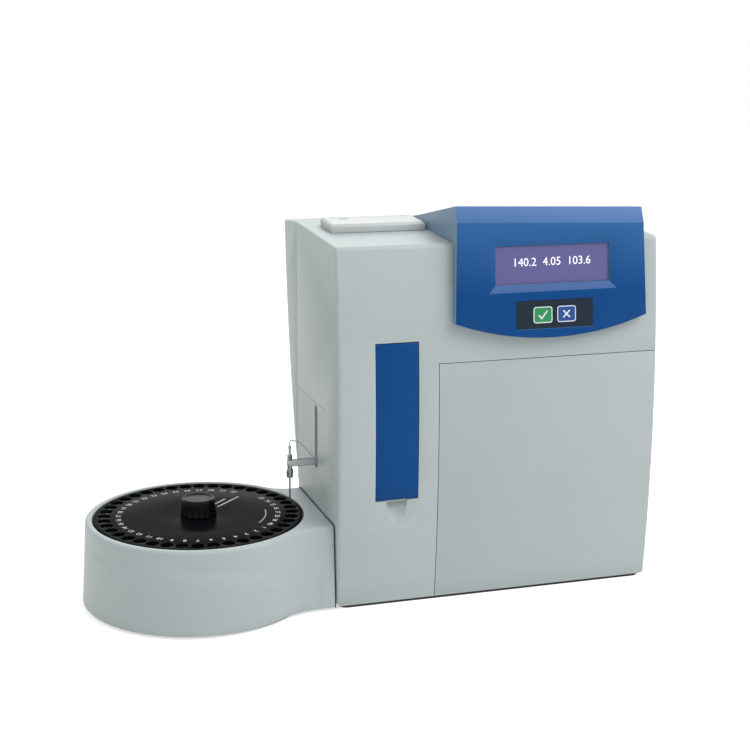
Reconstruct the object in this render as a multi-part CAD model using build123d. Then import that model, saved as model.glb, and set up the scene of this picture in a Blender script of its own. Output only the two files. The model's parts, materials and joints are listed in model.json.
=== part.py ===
from build123d import *
from math import acos, asin, atan, cos, degrees, pi, radians, sin, sqrt, tan
import os

# Electrolyte analyzer with an autosampler turntable, in millimetres.
# Machine axes: X right along the front, Y towards the back, Z up from the housing's lower edge.
# The last section moves everything so that the origin is the middle of the whole footprint on the table.

# Housing
body_width = 350.0
body_height = 378.0
top_front_height = 371.0
top_rear_height = 374.2
crown_radius = 60.0
body_depth = 217.0
foot_height = 3.0
wall = 3.0
front_bow_radius = 1667.0
front_bow_height = 155.0
top_edge_radius = 5.0
bottom_corner_radius = 5.0
edge_radius = 2.5
rear_seam = 163.0
rear_base_depth = 160.0
knee_height = 84.0
rear_belly_depth = 203.5
rear_belly_height = 254.5
rear_top_radius = 4.0
cover_gap = 0.4
cover_bottom = 104.0

# Service door
door_left = 106.8
door_top = 250.3
door_skin = 3.0
door_rim = 2.4
door_gap = 0.7
door_side_gap = 0.5
door_rear = 21.0
flange_front = 24.5
flange_thickness = 3.0
side_wall_front = 26.0
hinge_inset = 7.5
hinge_depth = 14.0
hinge_pin_radius = 2.0
hinge_knuckle_radius = 4.0
hinge_knuckle_height = 6.0
hinge_ear_thickness = 3.0
hinge_ear_gap = 0.4
hinge_lower_height = 20.0
hinge_upper_height = 222.0
running_clearance = 0.05
catch_height = 125.0
catch_size = 10.0
hinge_notch_front = 6.0
rest_gap = 0.3

# Service bay behind the door
bay_left = 116.5
bay_right = 334.0
bay_bottom = 10.0
bay_top = 244.0
bay_rear = 133.0
bay_wall = 2.0
pack_left = 232.0
pack_width = 92.0
pack_height = 104.0
pack_front = 46.0
pack_cap_radius = 8.0
pack_gap = 3.0
pack_grip = 8.0
clamp_height = 8.0
electrode_width = 30.0
electrode_height = 18.0
electrode_depth = 24.0
electrode_left = 140.0
electrode_bottom = 110.0
electrode_count = 5
electrode_gap = 0.6
valve_x = 214.0
valve_height = 196.0
valve_radius = 15.0
pump_x = 286.0
pump_height = 186.0
pump_radius = 26.0
pump_depth = 16.0
pump_tube_radius = 2.0
pump_roller_radius = 4.0
pump_roller_ring = 15.0
pump_motor_radius = 11.0
pump_motor_length = 18.0

# Sample flap and its recess
flap_left = 39.6
flap_width = 44.7
flap_bottom = 112.0
flap_height = 162.0
flap_thickness = 2.8
flap_gap = 0.7
flap_barrel_radius = 1.9
flap_pin_radius = 0.8
flap_pin_reach = 4.0
flap_pin_seat = 2.4
recess_depth = 40.0
recess_side_gap = 1.1
recess_wall = 2.0
scoop_width = 22.6
scoop_length = 25.0

pad_margin = 5.0
pad_depth = 18.0
probe_tip = 176.0
probe_holder_bottom = 232.0

# Left access panel, with the slot that the needle arm rides in
panel_front = 47.0
panel_bottom = 92.0
panel_top = 198.0
panel_gap = 0.35
panel_lip = 3.0
panel_lip_thickness = 1.5
slot_bottom = 126.4
slot_top = 194.6
slot_width = 11.0

# Display console
console_left = 120.8
console_right = 332.4
console_hang = 85.2
console_sag = 19.8
console_side_lean = 3.4
console_front = -4.0
console_lean = 0.10
crease_rise = 99.7
console_fall = 6.5
brow_depth = 6.0
brow_height = 16.0
console_rear = 158.0
console_rear_height = 1.5
console_wall = 2.6
window_inset = 44.0
window_width = 126.0
window_rise = 35.5
window_height = 38.7
bezel_flare = 7.9
bezel_depth = 2.0
bezel_lip = 1.2
pane_thickness = 1.2
module_depth = 7.0
keypad_post_inset = 5.0
keypad_board_depth = 6.0
key_corner_radius = 3.0
key_rim = 1.2
seat_gap = 0.1
keypad_inset = 65.7
keypad_width = 85.0
keypad_drop = 10.0
keypad_height = 28.6
keypad_thickness = 1.2
key_width = 21.4
key_height = 17.2
key_gap_centre = 4.8
key_inset = 18.1
key_drop = 4.8
key_proud = 0.6
key_travel = 0.8
key_clearance = 0.35
port_rear = 60.0

# Printer in the top of the tower
lid_left = 18.0
lid_right = 119.6
lid_front = 89.0
lid_rear = 137.0
lid_height = 9.0
lid_wall = 2.0
lid_edge = 2.4
lid_lift = 0.4
lid_barrel_radius = 4.3
lid_pin_radius = 1.0
lid_ear_width = 4.0
lid_ear_inset = 10.0
lid_ear_gap = 0.5
lid_hinge_clear = 5.0
tab_x = 40.5
tab_width = 8.0
tab_depth = 5.0
tab_height = 0.8
tab_inset = 10.0
cheek_gap = 1.0
tub_left = 28.0
tub_right = 110.0
tub_front = 91.5
tub_rear = 127.0
tub_depth = 56.0
tub_wall = 2.0
roll_radius = 15.0
roll_core_radius = 6.5
roll_width = 57.0
roll_rest_gap = 0.5
roll_pin_radius = 2.0
roll_cheek = 3.0
roll_axis_y = 109.2
platen_axis_y = 103.0
platen_axis_z = 374.0
platen_radius = 5.0
platen_shaft_radius = 1.5
platen_length = 54.0
platen_arm_width = 3.0
head_gap = 0.4

# Autosampler
sampler_y = 90.0
needle_y = 86.0
deck_height = 85.6
drum_radius_top = 116.4
drum_draft = 2.6
drum_base_shift = 2.5
neck_length = 9.7
deck_rim = 6.9
neck_front_base = 6.0
neck_front_top = 12.5
neck_rear = 152.0
neck_front_sweep = 78.0
neck_rear_sweep = 32.0
drum_edge_radius = 3.5
drum_wall = 2.6
sampler_gap = 0.9
well_depth = 52.0
swoosh_proud = 2.2
swoosh_fall = 2.0
swoosh_middle = -108.0
swoosh_wrap = 58.0
swoosh_depth = 8.0

# Sampler drive, needle and lift
plate_thickness = 2.0
plate_rise = 1.0
foot_radius = 9.0
foot_chamfer = 1.0
foot_inset = 24.0
foot_front = 38.0
foot_rear_inset = 22.0
gear_module = 1.0
wheel_teeth = 72
pinion_teeth = 18
lift_pinion_teeth = 16
gear_backlash = 0.16
pressure_angle = 20.0
gear_width = 6.0
wheel_height = 15.5
wheel_hub_radius = 10.0
well_wall = 3.2
bearing_bottom = 26.0
bearing_boss_radius = 14.0
bearing_boss_top = 37.0
bush_height = 10.0
bush_radius = 8.0
sampler_foot_ring = 90.0
sampler_boss_ring = 100.0
motor_side = 42.0
motor_height = 11.5
motor_shaft_radius = 2.5
bearing_radius = 11.0
bearing_width = 7.0
needle_radius = 0.9
needle_tip = 93.3
needle_top = 153.0
needle_bore_clearance = 0.1
arm_bottom = 130.6
arm_height = 6.6
arm_width = 6.0
nut_radius = 3.6
nut_height = 9.3
nut_neck = 3.0
fitting_radius = 2.8
fitting_height = 6.0
capillary_radius = 0.7
carriage_left = 8.0
carriage_right = 26.0
carriage_half_width = 15.0
carriage_bottom = 121.0
carriage_height = 24.0
guide_rod_radius = 3.0
guide_rod_spacing = 18.0
guide_rod_x = 17.0
guide_bottom = 96.0
guide_top = 222.0
guide_flange = 3.0
guide_flange_half = 13.0
rack_bottom = 92.0
rack_top = 160.0
lift_plate_x = 50.0
lift_plate_thickness = 3.0
lift_plate_front = 66.0
lift_plate_rear = 131.0
rack_depth = 4.0
rack_width = 8.0
lift_pinion_height = 150.0
lift_motor_side = 28.0
lift_motor_length = 30.0

# Electronics and the back
board_left = 126.0
board_right = 262.0
board_bottom = 112.0
board_top = 240.0
board_thickness = 1.6
board_standoff = 8.0
supply_width = 72.0
supply_height = 58.0
supply_depth = 17.0
rear_opening_left = 196.0
rear_opening_right = 334.0
rear_opening_bottom = 14.0
rear_opening_top = 76.0
rear_panel_margin = 6.0
rear_panel_thickness = 1.5
inlet_x = 312.0
inlet_width = 27.2
inlet_height = 46.8
inlet_flange = 2.0
inlet_flange_thickness = 2.5
inlet_depth = 14.0
socket_width = 24.0
socket_height = 16.4
socket_depth = 12.0
rocker_width = 13.0
rocker_height = 10.0
rocker_gap = 0.4
rocker_angle = 10.0
rocker_pivot_depth = 1.5
serial_x = 240.0
serial_width = 31.0
serial_height = 12.6
fuse_width = 22.0
fuse_height = 9.0
fuse_depth = 10.0
vent_bottom = 296.0
vent_top = 344.0
lap_width = 6.0
lap_thickness = 1.6
vent_count = 9
vent_width = 2.4
vent_pitch = 7.0
screw_radius = 1.5
screw_head_radius = 2.8
screw_head_height = 1.6
screw_length = 9.0
screw_hole_gap = 0.15
boss_radius = 4.5
boss_inset = 6.5
boss_front = 45.0
boss_rear_inset = 20.0
bracket_thickness = 1.6
bracket_reach = 42.0
bracket_front = 62.0
bracket_rear = 116.0
cable_front = 36.0
cable_rear = 52.0
cable_bottom = 24.0
cable_top = 40.0

# Small parts of the board, the back and the bay
chip_size = 22.0
chip_height = 2.5
chip_inset = 30.0
chip_rise = 60.0
plug_length = 48.0
plug_width = 8.0
plug_inset = 12.0
plug_rise = 6.0
can_radius = 6.0
can_height = 10.0
can_inset = 22.0
can_rise = 30.0
supply_inset = 3.0
supply_radius = 1.0
inlet_clear = 0.2
socket_corner = 4.5
socket_inset = 2.0
blade_half_width = 1.0
blade_half_height = 2.0
blade_offset = 7.0
blade_lift = 3.0
blade_setback = 4.0
drawer_proud = 1.0
rocker_proud = 1.0
rocker_root = 2.5
rocker_taper = 1.0
port_body_depth = 8.0
port_plate = 0.8
port_reach = 5.0
port_shell_width = 16.4
port_shell_height = 8.0
port_shell_wall = 0.6
port_body_inset = 6.2
port_body_rim = 1.2
port_screw_offset = 12.5
port_screw_radius = 2.4
port_screw_reach = 4.0
grip_share = 0.7
grip_height = 16.0
cap_shares = (0.3, 0.7)
electrode_window_depth = 3.0
valve_foot = 4.0
valve_port_length = 8.0
rotor_back_cheek = 1.5
rotor_front_cheek = 2.0
probe_length = 20.0
holder_width = 14.0
holder_height = 18.0
holder_front = 6.0
holder_radius = 2.0
catch_post_gap = 2.0
catch_plate = 1.0
pin_floor = 2.0
hub_drop = 5.0
disc_chamfer = 0.5
support_margin = 2.0
support_rim = 4.0
spacer_count = 4
motor_chamfer = 4.0
lift_motor_chamfer = 3.0
carriage_chamfer = 2.0
nut_chamfer = 0.6
tip_radius = 1.6
tip_height = 3.0
sleeve_wall = 0.4
capillary_gap = 0.2
lift_foot = 20.0
rod_seat = 4.0
rack_inset = 2.0
lift_shaft_reach = 8.0
cut_over = 1.0

# Turntable
disc_gap = 1.3
disc_thickness = 3.5
disc_drop = 0.2
tube_count = 40
tube_margin = 10.8
tube_hole_radius = 6.5
support_drop = 38.0
support_thickness = 2.5
knob_radius_top = 17.2
knob_radius_base = 18.6
knob_height = 18.5
knob_flutes = 18
knob_flute_radius = 2.2
knob_flute_depth = 0.9
spacer_ring = 60.0
spindle_radius = 4.0

# Sizes that follow from the driving ones
drum_radius_base = drum_radius_top + drum_draft
sampler_x = -(drum_radius_top + neck_length)
well_radius = drum_radius_top - deck_rim
disc_radius = well_radius - disc_gap
tube_ring_radius = disc_radius - tube_margin
console_corner_height = body_height - console_hang
console_crease_left = console_corner_height + crease_rise
window_left = console_left + window_inset
window_right = window_left + window_width
window_bottom = console_corner_height + window_rise
window_top = window_bottom + window_height
keypad_left = console_left + keypad_inset
keypad_right = keypad_left + keypad_width
keypad_bottom = console_corner_height - keypad_drop
keypad_top = keypad_bottom + keypad_height
key_left_edge = keypad_left + key_inset
key_bottom = console_corner_height - key_drop


# Helpers
nodes = {}


def block(x0, x1, y0, y1, z0, z1):
    """A box between two opposite corners."""
    return Pos((x0 + x1) / 2, (y0 + y1) / 2, (z0 + z1) / 2) * Box(x1 - x0, y1 - y0, z1 - z0)


def rod_x(x0, x1, y, z, radius):
    return Pos(x0, y, z) * Rot(0, 90, 0) * Cylinder(radius, x1 - x0, align=(Align.CENTER, Align.CENTER, Align.MIN))


def rod_y(y0, y1, x, z, radius):
    return Pos(x, y0, z) * Rot(-90, 0, 0) * Cylinder(radius, y1 - y0, align=(Align.CENTER, Align.CENTER, Align.MIN))


def rod_z(z0, z1, x, y, radius):
    return Pos(x, y, z0) * Cylinder(radius, z1 - z0, align=(Align.CENTER, Align.CENTER, Align.MIN))


def front_y(z, inset=0.0):
    """Where the bowed front stands at one height, or a skin's inner face when inset."""
    rise = z - front_bow_height
    return front_bow_radius - sqrt((front_bow_radius - inset) ** 2 - rise ** 2)


def keep(name, shape):
    nodes[name] = shape


# Housing
def side_face(inset):
    """The side outline in the Y-Z plane, run on past the lower edge and stepped in evenly."""
    low = -wall
    top_front = (front_y(top_front_height), top_front_height)
    crown = (rear_seam, body_height)
    top_rear = (body_depth, top_rear_height)
    outline = [
        ThreePointArc((front_y(low), low), (0, front_bow_height), top_front),
        Line(top_front, crown),
        Line(crown, top_rear),
        ThreePointArc(top_rear, (rear_belly_depth, rear_belly_height), (rear_base_depth, knee_height)),
        Line((rear_base_depth, knee_height), (rear_base_depth, low)),
        Line((rear_base_depth, low), (front_y(low), low)),
    ]
    face = make_face(outline)
    for corner, radius in ((top_front, top_edge_radius), (crown, crown_radius), (top_rear, rear_top_radius)):
        face = fillet(face.vertices().sort_by_distance(Vector(*corner))[0], radius)
    if inset:
        face = offset(face, amount=-inset)
    return Plane.YZ * face


def sloped(shape):
    """A shape laid out on a level top, turned onto the top that falls from its crown to the front."""
    fall = body_height - top_front_height
    angle = degrees(atan(fall / (rear_seam - front_y(top_front_height))))
    return Pos(0, rear_seam, body_height) * Rot(angle, 0, 0) * Pos(0, -rear_seam, -body_height) * shape


def side_chain(solid, x):
    """The edges of the side outline at one end, along the front, the top and the back."""
    return [
        edge
        for edge in solid.edges()
        if abs(edge.bounding_box().min.X - x) < 0.01
        and abs(edge.bounding_box().max.X - x) < 0.01
        and edge.bounding_box().max.Z > knee_height
    ]


def front_outline(inset):
    """The instrument's outline seen from the front, with its lower corners rounded."""
    face = make_face(Polyline(
        (inset, inset), (body_width - inset, inset), (body_width - inset, body_height + wall),
        (inset, body_height + wall), close=True,
    ))
    lower = face.vertices().group_by(Axis.Y)[0]
    return Plane.XZ * fillet(lower, bottom_corner_radius - inset)


def housing_body():
    """The whole instrument as one block, before it is split and hollowed."""
    body = extrude(side_face(0), body_width)
    body = fillet(side_chain(body, 0.0) + side_chain(body, body_width), edge_radius)
    return body & extrude(front_outline(0), -(body_depth + wall))


def housing_cavity():
    """The space inside the skin, open at the bottom."""
    cavity = Pos(wall, 0, 0) * extrude(side_face(wall), body_width - 2 * wall)
    mouth = block(
        wall, body_width - wall, front_y(0, wall), rear_base_depth - wall, -2 * wall, 2 * wall
    )
    return cavity + mouth


# Sampler outline
def sampler_outline(centre_x, radius, neck_front):
    """Plan of the drum and the neck that sweeps into the housing's side."""
    drum = Vector(centre_x, sampler_y)
    end_x = -sampler_gap
    front_centre_y = neck_front - neck_front_sweep
    front_reach = sqrt((radius + neck_front_sweep) ** 2 - (sampler_y - front_centre_y) ** 2)
    front_centre = Vector(centre_x + front_reach, front_centre_y)
    rear_centre_y = neck_rear + neck_rear_sweep
    rear_reach = sqrt((radius + neck_rear_sweep) ** 2 - (rear_centre_y - sampler_y) ** 2)
    rear_centre = Vector(centre_x + rear_reach, rear_centre_y)
    front_meet = drum + (front_centre - drum).normalized() * radius
    rear_meet = drum + (rear_centre - drum).normalized() * radius
    front_end = Vector(front_centre.X, neck_front)
    rear_end = Vector(rear_centre.X, neck_rear)
    front_middle = front_centre + ((front_meet + front_end) * 0.5 - front_centre).normalized() * neck_front_sweep
    rear_middle = rear_centre + ((rear_meet + rear_end) * 0.5 - rear_centre).normalized() * neck_rear_sweep
    far_left = drum - Vector(radius, 0)
    return [
        Line((end_x, neck_front), front_end),
        ThreePointArc(front_end, front_middle, front_meet),
        ThreePointArc(front_meet, far_left, rear_meet),
        ThreePointArc(rear_meet, rear_middle, rear_end),
        Line(rear_end, (end_x, neck_rear)),
        Line((end_x, neck_rear), (end_x, neck_front)),
    ]


def sampler_block(inset, bottom, top):
    """The drum and neck between two heights, drafted so that they widen towards the table."""
    share = 1 / deck_height
    faces = []
    for z in (bottom, top):
        radius = drum_radius_base + (drum_radius_top - drum_radius_base) * z * share
        neck = neck_front_base + (neck_front_top - neck_front_base) * z * share
        centre_x = sampler_x - drum_base_shift * (1 - z * share)
        outline = make_face(sampler_outline(centre_x, radius, neck))
        if inset:
            outline = offset(outline, amount=-inset)
        faces.append(Pos(0, 0, z) * outline)
    return loft(faces, ruled=True)


# Shared places
needle_x = sampler_x + sqrt(tube_ring_radius ** 2 - (needle_y - sampler_y) ** 2)
door_right = body_width - door_side_gap
hinge_x = body_width - hinge_inset
disc_top = deck_height - disc_drop
disc_bottom = disc_top - disc_thickness
well_floor = deck_height - well_depth
plate_top = plate_rise + plate_thickness
seam_x = door_left - door_gap
ledge = door_top + door_gap
flange_rear = flange_front + flange_thickness
board_front = bay_rear + bay_wall + board_standoff
flap_right = flap_left + flap_width
flap_top = flap_bottom + flap_height
flap_axis_z = flap_top - flap_barrel_radius
flap_axis_y = front_y(flap_axis_z) + flap_barrel_radius
recess_left = flap_left - recess_side_gap
recess_right = flap_right + recess_side_gap
console_middle = (console_left + console_right) / 2
lid_axis_y = lid_rear - lid_barrel_radius
lid_axis_z = body_height + lid_lift + lid_barrel_radius
lid_ear_places = (lid_left + lid_ear_inset, lid_right - lid_ear_inset - lid_ear_width)
bay_middle = (tub_left + tub_right) / 2
roll_cheek_places = (
    bay_middle - roll_width / 2 - cheek_gap - roll_cheek, bay_middle + roll_width / 2 + cheek_gap,
)
platen_arm_places = (
    bay_middle - platen_length / 2 - head_gap - platen_arm_width, bay_middle + platen_length / 2 + head_gap,
)
pinion_x = sampler_x + gear_module * (wheel_teeth + pinion_teeth) / 2
pinion_axis_y = needle_y + carriage_half_width + rack_depth + gear_module * lift_pinion_teeth / 2
main_foot_places = [
    (x, y) for x in (foot_inset, body_width - foot_inset) for y in (foot_front, rear_base_depth - foot_rear_inset)
]
sampler_foot_places = [
    (sampler_x + sampler_foot_ring * cos(radians(angle)), sampler_y + sampler_foot_ring * sin(radians(angle)))
    for angle in (120, 180, 240)
]
sampler_boss_places = [
    (sampler_x + sampler_boss_ring * cos(radians(angle)), sampler_y + sampler_boss_ring * sin(radians(angle)))
    for angle in (60, 150, 210, 300)
]
boss_places = [
    (x, y) for x in (boss_inset, body_width - boss_inset) for y in (boss_front, rear_base_depth - boss_rear_inset)
]


def front_slab(x0, x1, z0, z1, near, far):
    """A panel that follows the bowed front, between two depths behind it."""
    middle = (z0 + z1) / 2
    outline = [
        ThreePointArc((front_y(z0, near), z0), (front_y(middle, near), middle), (front_y(z1, near), z1)),
        Line((front_y(z1, near), z1), (front_y(z1, far), z1)),
        ThreePointArc((front_y(z1, far), z1), (front_y(middle, far), middle), (front_y(z0, far), z0)),
        Line((front_y(z0, far), z0), (front_y(z0, near), z0)),
    ]
    return Pos(x0, 0, 0) * extrude(Plane.YZ * make_face(outline), x1 - x0)


def scoop_cutter():
    """A tilted cylinder that lets a finger in below the flap."""
    radius = scoop_width / 2
    tilt = degrees(atan(radius / scoop_length))
    x = (flap_left + flap_right) / 2
    start = Pos(x, front_y(flap_bottom), flap_bottom) * Rot(-tilt, 0, 0)
    return start * Cylinder(radius, 2 * scoop_length + 3 * radius)


# Console, a faceted hood that leans over the front edge
console_plane = Plane(
    origin=(0, console_front, console_corner_height), x_dir=(1, 0, 0), z_dir=(0, -1, console_lean)
)
console_slope = sqrt(1 + console_lean ** 2)


def on_console(x0, x1, z0, z1, out, back):
    """A box lying in the console's leaning front, from one height above it to one depth behind it."""
    v0 = (z0 - console_corner_height) * console_slope
    v1 = (z1 - console_corner_height) * console_slope
    centre = Pos((x0 + x1) / 2, (v0 + v1) / 2, (out - back) / 2)
    return console_plane * centre * Box(x1 - x0, v1 - v0, out + back)


def console_form(inset):
    """The hood's outer form, or its inner one when every face is moved in."""
    rise = console_crease_left - console_corner_height
    fall = console_fall / (console_right - console_left)
    crease_y = console_front + console_lean * rise
    top_y = crease_y + brow_depth
    top_z = console_crease_left + brow_height
    body = block(
        console_left - wall, console_right + wall, console_front - wall, console_rear + wall,
        console_corner_height - console_sag - wall, top_z + wall,
    )
    lean = console_side_lean / (top_z - console_corner_height)
    drop = (top_z - body_height - console_rear_height) / (console_rear - top_y)
    faces = [
        Plane(origin=(0, console_front, console_corner_height), z_dir=(0, -1, console_lean)),
        Plane(origin=(console_left, crease_y, console_crease_left),
              z_dir=((brow_depth - brow_height * console_lean) * fall, -brow_height, brow_depth)),
        Plane(origin=(console_left, top_y, top_z), z_dir=(fall, drop, 1)),
        Plane(origin=(console_left, 0, console_corner_height), z_dir=(-1, 0, lean)),
        Plane(origin=(console_right, 0, console_corner_height), z_dir=(1, 0, lean)),
    ]
    for face in faces:
        shifted = face.offset(-inset)
        body = split(body, bisect_by=shifted, keep=Keep.BOTTOM)
    low = console_corner_height - console_sag
    outline = [
        ThreePointArc(
            (console_left - wall, console_corner_height + inset), (console_middle, low + inset),
            (console_right + wall, console_corner_height + inset),
        ),
        Line((console_right + wall, console_corner_height + inset), (console_right + wall, top_z + 2 * wall)),
        Line((console_right + wall, top_z + 2 * wall), (console_left - wall, top_z + 2 * wall)),
        Line((console_left - wall, top_z + 2 * wall), (console_left - wall, console_corner_height + inset)),
    ]
    trim = extrude(Plane.XZ * make_face(outline), -(console_rear + 2 * wall))
    return body & (Pos(0, console_front - 2 * wall, 0) * trim)


# Main housing
whole_body = housing_body()
body_skin = whole_body - housing_cavity()


def main_housing():
    """The moulded front, top and sides, with the recess for the service door and its frame."""
    shell = body_skin & (
        block(-wall, body_width + wall, -wall, rear_seam, -wall, body_height + wall)
        + block(-wall, body_width + wall, -wall, body_depth, -wall, cover_bottom)
    )
    shell -= block(seam_x, body_width + wall, -wall, side_wall_front, -wall, ledge)
    recess = block(seam_x - wall, seam_x, -wall, flange_rear, 0, ledge + wall)
    recess += block(seam_x - wall, body_width, -wall, flange_rear, ledge, ledge + wall)
    frame = block(seam_x - wall, body_width - wall / 2, flange_front, flange_rear, plate_top, ledge + wall)
    frame -= block(bay_left, bay_right, 0, body_depth, bay_bottom, bay_top)
    shell += (recess & whole_body) + frame
    shell += scoop_pad()
    for x, y in boss_places:
        shell += rod_z(plate_top, plate_top + screw_length, x, y, boss_radius)
        shell -= rod_z(plate_top, plate_top + screw_length - 1, x, y, screw_radius + screw_hole_gap)
    shell += hinge_ears() + sloped(lid_ears())
    shell -= scoop_cutter()
    shell -= block(
        flap_left - flap_gap, flap_right + flap_gap, -wall, 3 * wall, flap_bottom - flap_gap, flap_top + flap_gap
    )
    shell -= flap_pin_rods(flap_pin_radius, 0.0)
    shell -= block(-wall, wall + 0.1, panel_front, rear_seam + wall, panel_bottom, panel_top)
    shell -= sloped(block(tub_left, tub_right, tub_front, tub_rear, body_height - 2 * wall, body_height + wall))
    shell -= console_opening()
    shell -= block(
        rear_opening_left, rear_opening_right, rear_base_depth - 2 * wall, rear_base_depth + wall,
        rear_opening_bottom, rear_opening_top,
    )
    shell -= bracket_form(screw_hole_gap)
    shell -= block(-wall, wall + 0.1, cable_front, cable_rear, cable_bottom, cable_top)
    return shell


def scoop_pad():
    """The thick wall that the finger scoop is cut into, moulded behind the skin."""
    pad = block(
        flap_left + pad_margin, flap_right - pad_margin, front_y(flap_bottom, wall / 2), pad_depth,
        flap_bottom - scoop_length - 2 * wall, flap_bottom - flap_gap - recess_wall,
    )
    return fillet(pad.edges().filter_by(Axis.X).group_by(Axis.Y)[-1], wall)


def hinge_ears():
    """Two ears on the frame that hold the door's pins."""
    ears = Part()
    for z in (hinge_lower_height, hinge_upper_height):
        ear = rod_z(z, z + hinge_ear_thickness, hinge_x, hinge_depth, hinge_knuckle_radius)
        ear += block(
            hinge_x - hinge_knuckle_radius, hinge_x + hinge_knuckle_radius, hinge_depth, flange_rear,
            z, z + hinge_ear_thickness,
        )
        ears += ear - rod_z(z - 1, z + hinge_ear_thickness + 1, hinge_x, hinge_depth, hinge_pin_radius)
    return ears


def console_opening():
    """A port behind the display for its board and cables."""
    return block(
        window_left - bezel_flare, window_right + bezel_flare, -wall, port_rear,
        window_bottom - bezel_flare, body_height + wall,
    )


def bracket_form(gap):
    """The steel strap between the two bases, or the slot that it passes through."""
    return block(
        -bracket_reach - gap, bracket_reach + gap, bracket_front - gap, bracket_rear + gap,
        plate_rise - bracket_thickness - gap, plate_rise + gap,
    )


def service_door():
    """A shallow moulded tray that wraps the lower right of the front."""
    outer = whole_body & block(door_left, door_right, -wall, door_rear, -wall, door_top)
    hollow = front_slab(
        door_left + door_rim, door_right - door_rim, door_rim, door_top - door_rim, door_skin, door_rear + wall
    )
    door = outer - hollow
    for z in (hinge_lower_height, hinge_upper_height):
        low = z - hinge_ear_gap
        high = z + hinge_ear_thickness + hinge_ear_gap
        door -= block(hinge_x, body_width + wall, hinge_notch_front, door_rear + wall, low, high)
        for z0, z1 in ((low - hinge_knuckle_height, low), (high, high + hinge_knuckle_height)):
            knuckle = rod_z(z0, z1, hinge_x, hinge_depth, hinge_knuckle_radius)
            knuckle += block(
                hinge_x - hinge_knuckle_radius, door_right - door_rim / 2, front_y(z0, door_skin / 2), hinge_depth,
                z0, z1,
            )
            knuckle -= rod_z(z0 - 1, z1 + 1, hinge_x, hinge_depth, hinge_pin_radius + running_clearance)
            door += knuckle
    strike = block(
        door_left + door_rim, door_left + door_rim + catch_size, front_y(catch_height, door_skin / 2),
        door_rear - catch_post_gap,
        catch_height - catch_size, catch_height + catch_size,
    )
    return door + strike


def hinge_pins():
    pins = Part()
    reach = hinge_ear_gap + hinge_knuckle_height
    for z in (hinge_lower_height, hinge_upper_height):
        pins += rod_z(z - reach, z + hinge_ear_thickness + reach, hinge_x, hinge_depth, hinge_pin_radius)
    return pins


def door_catch():
    """A touch catch on the frame that the door's post pushes against."""
    x = door_left + door_rim + catch_size / 2
    face = flange_front - catch_plate
    body = block(x - catch_size / 2, x + catch_size / 2, face, flange_front,
                 catch_height - catch_size, catch_height + catch_size)
    tip = rod_y(door_rear - catch_post_gap + rest_gap, face, x, catch_height, catch_size / 4)
    return body + tip


def bay_liner():
    """An open-fronted tray that catches spills and carries the sensors, pump and reagents."""
    outer = block(
        bay_left - bay_wall, bay_right + bay_wall, flange_rear, bay_rear + bay_wall,
        bay_bottom - bay_wall, bay_top + bay_wall,
    )
    liner = outer - block(bay_left, bay_right, 0, bay_rear, bay_bottom, bay_top)
    for x in (board_left + boss_radius, board_right - boss_radius):
        for z in (board_bottom + boss_radius, board_top - boss_radius):
            liner += rod_y(bay_rear + bay_wall, board_front, x, z, screw_radius + 1)
    liner -= rod_y(bay_rear - 1, bay_rear + 2 * bay_wall, pump_x, pump_height, spindle_radius)
    return liner


def reagent_pack():
    """A boxed set of solutions with two sealed outlets on top."""
    right = pack_left + pack_width
    top = bay_bottom + pack_height
    rear = bay_rear - pack_gap
    pack = block(pack_left, right, pack_front, rear, bay_bottom, top)
    pack = fillet(pack.edges().filter_by(Axis.Y), edge_radius)
    grip_z = bay_bottom + pack_height * grip_share
    pack -= block(pack_left + pack_width / 4, right - pack_width / 4, 0, pack_front + pack_grip, grip_z,
                  grip_z + grip_height)
    for share in cap_shares:
        pack += rod_z(top, top + pack_cap_radius, pack_left + share * pack_width, (pack_front + rear) / 2,
                      pack_cap_radius)
    return pack


def electrode(index):
    """One flow-through electrode block with its contact at the back and a sight window."""
    z = electrode_bottom + index * (electrode_height + electrode_gap)
    rear = bay_rear - electrode_gap
    front = rear - electrode_depth
    right = electrode_left + electrode_width
    form = block(electrode_left, right, front, rear, z, z + electrode_height)
    form = fillet(form.edges().filter_by(Axis.Z).group_by(Axis.Y)[0], edge_radius)
    middle = (electrode_left + right) / 2
    form -= rod_y(front - cut_over, front + electrode_window_depth, middle, z + electrode_height / 2,
                  electrode_height / 4)
    return form


def electrodes():
    """The column of electrode blocks, one for each ion and one for reference."""
    column = Part()
    for index in range(electrode_count):
        column += electrode(index)
    return column


def electrode_clamp():
    """The rack that squeezes the electrode column together."""
    rear = bay_rear
    front = rear - electrode_depth - electrode_gap
    stack = electrode_count * (electrode_height + electrode_gap)
    low = electrode_bottom - clamp_height - electrode_gap
    left = electrode_left - electrode_gap
    right = electrode_left + electrode_width + electrode_gap
    clamp = block(left - bay_wall * 2, right + bay_wall * 2, front, rear, low, electrode_bottom - electrode_gap)
    top = electrode_bottom + stack
    clamp += block(left - bay_wall * 2, right + bay_wall * 2, front, rear, top, top + clamp_height)
    clamp += block(left - bay_wall * 2, left, rear - electrode_depth / 2, rear, low, top + clamp_height)
    clamp += block(right, right + bay_wall * 2, rear - electrode_depth / 2, rear, low, top + clamp_height)
    return clamp


def sample_valve():
    """The sample valve, a drum on a square foot with three ports."""
    foot = bay_rear - valve_foot
    body = rod_y(bay_rear - 2 * valve_radius, foot, valve_x, valve_height, valve_radius)
    body += block(valve_x - valve_radius, valve_x + valve_radius, foot, bay_rear,
                  valve_height - valve_radius, valve_height + valve_radius)
    for angle in (0, 120, 240):
        port = Pos(valve_x, bay_rear - valve_radius, valve_height) * Rot(0, angle + 60, 0)
        body += port * Pos(0, 0, valve_radius) * Cylinder(pump_tube_radius + 1, valve_port_length)
    return body


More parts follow.
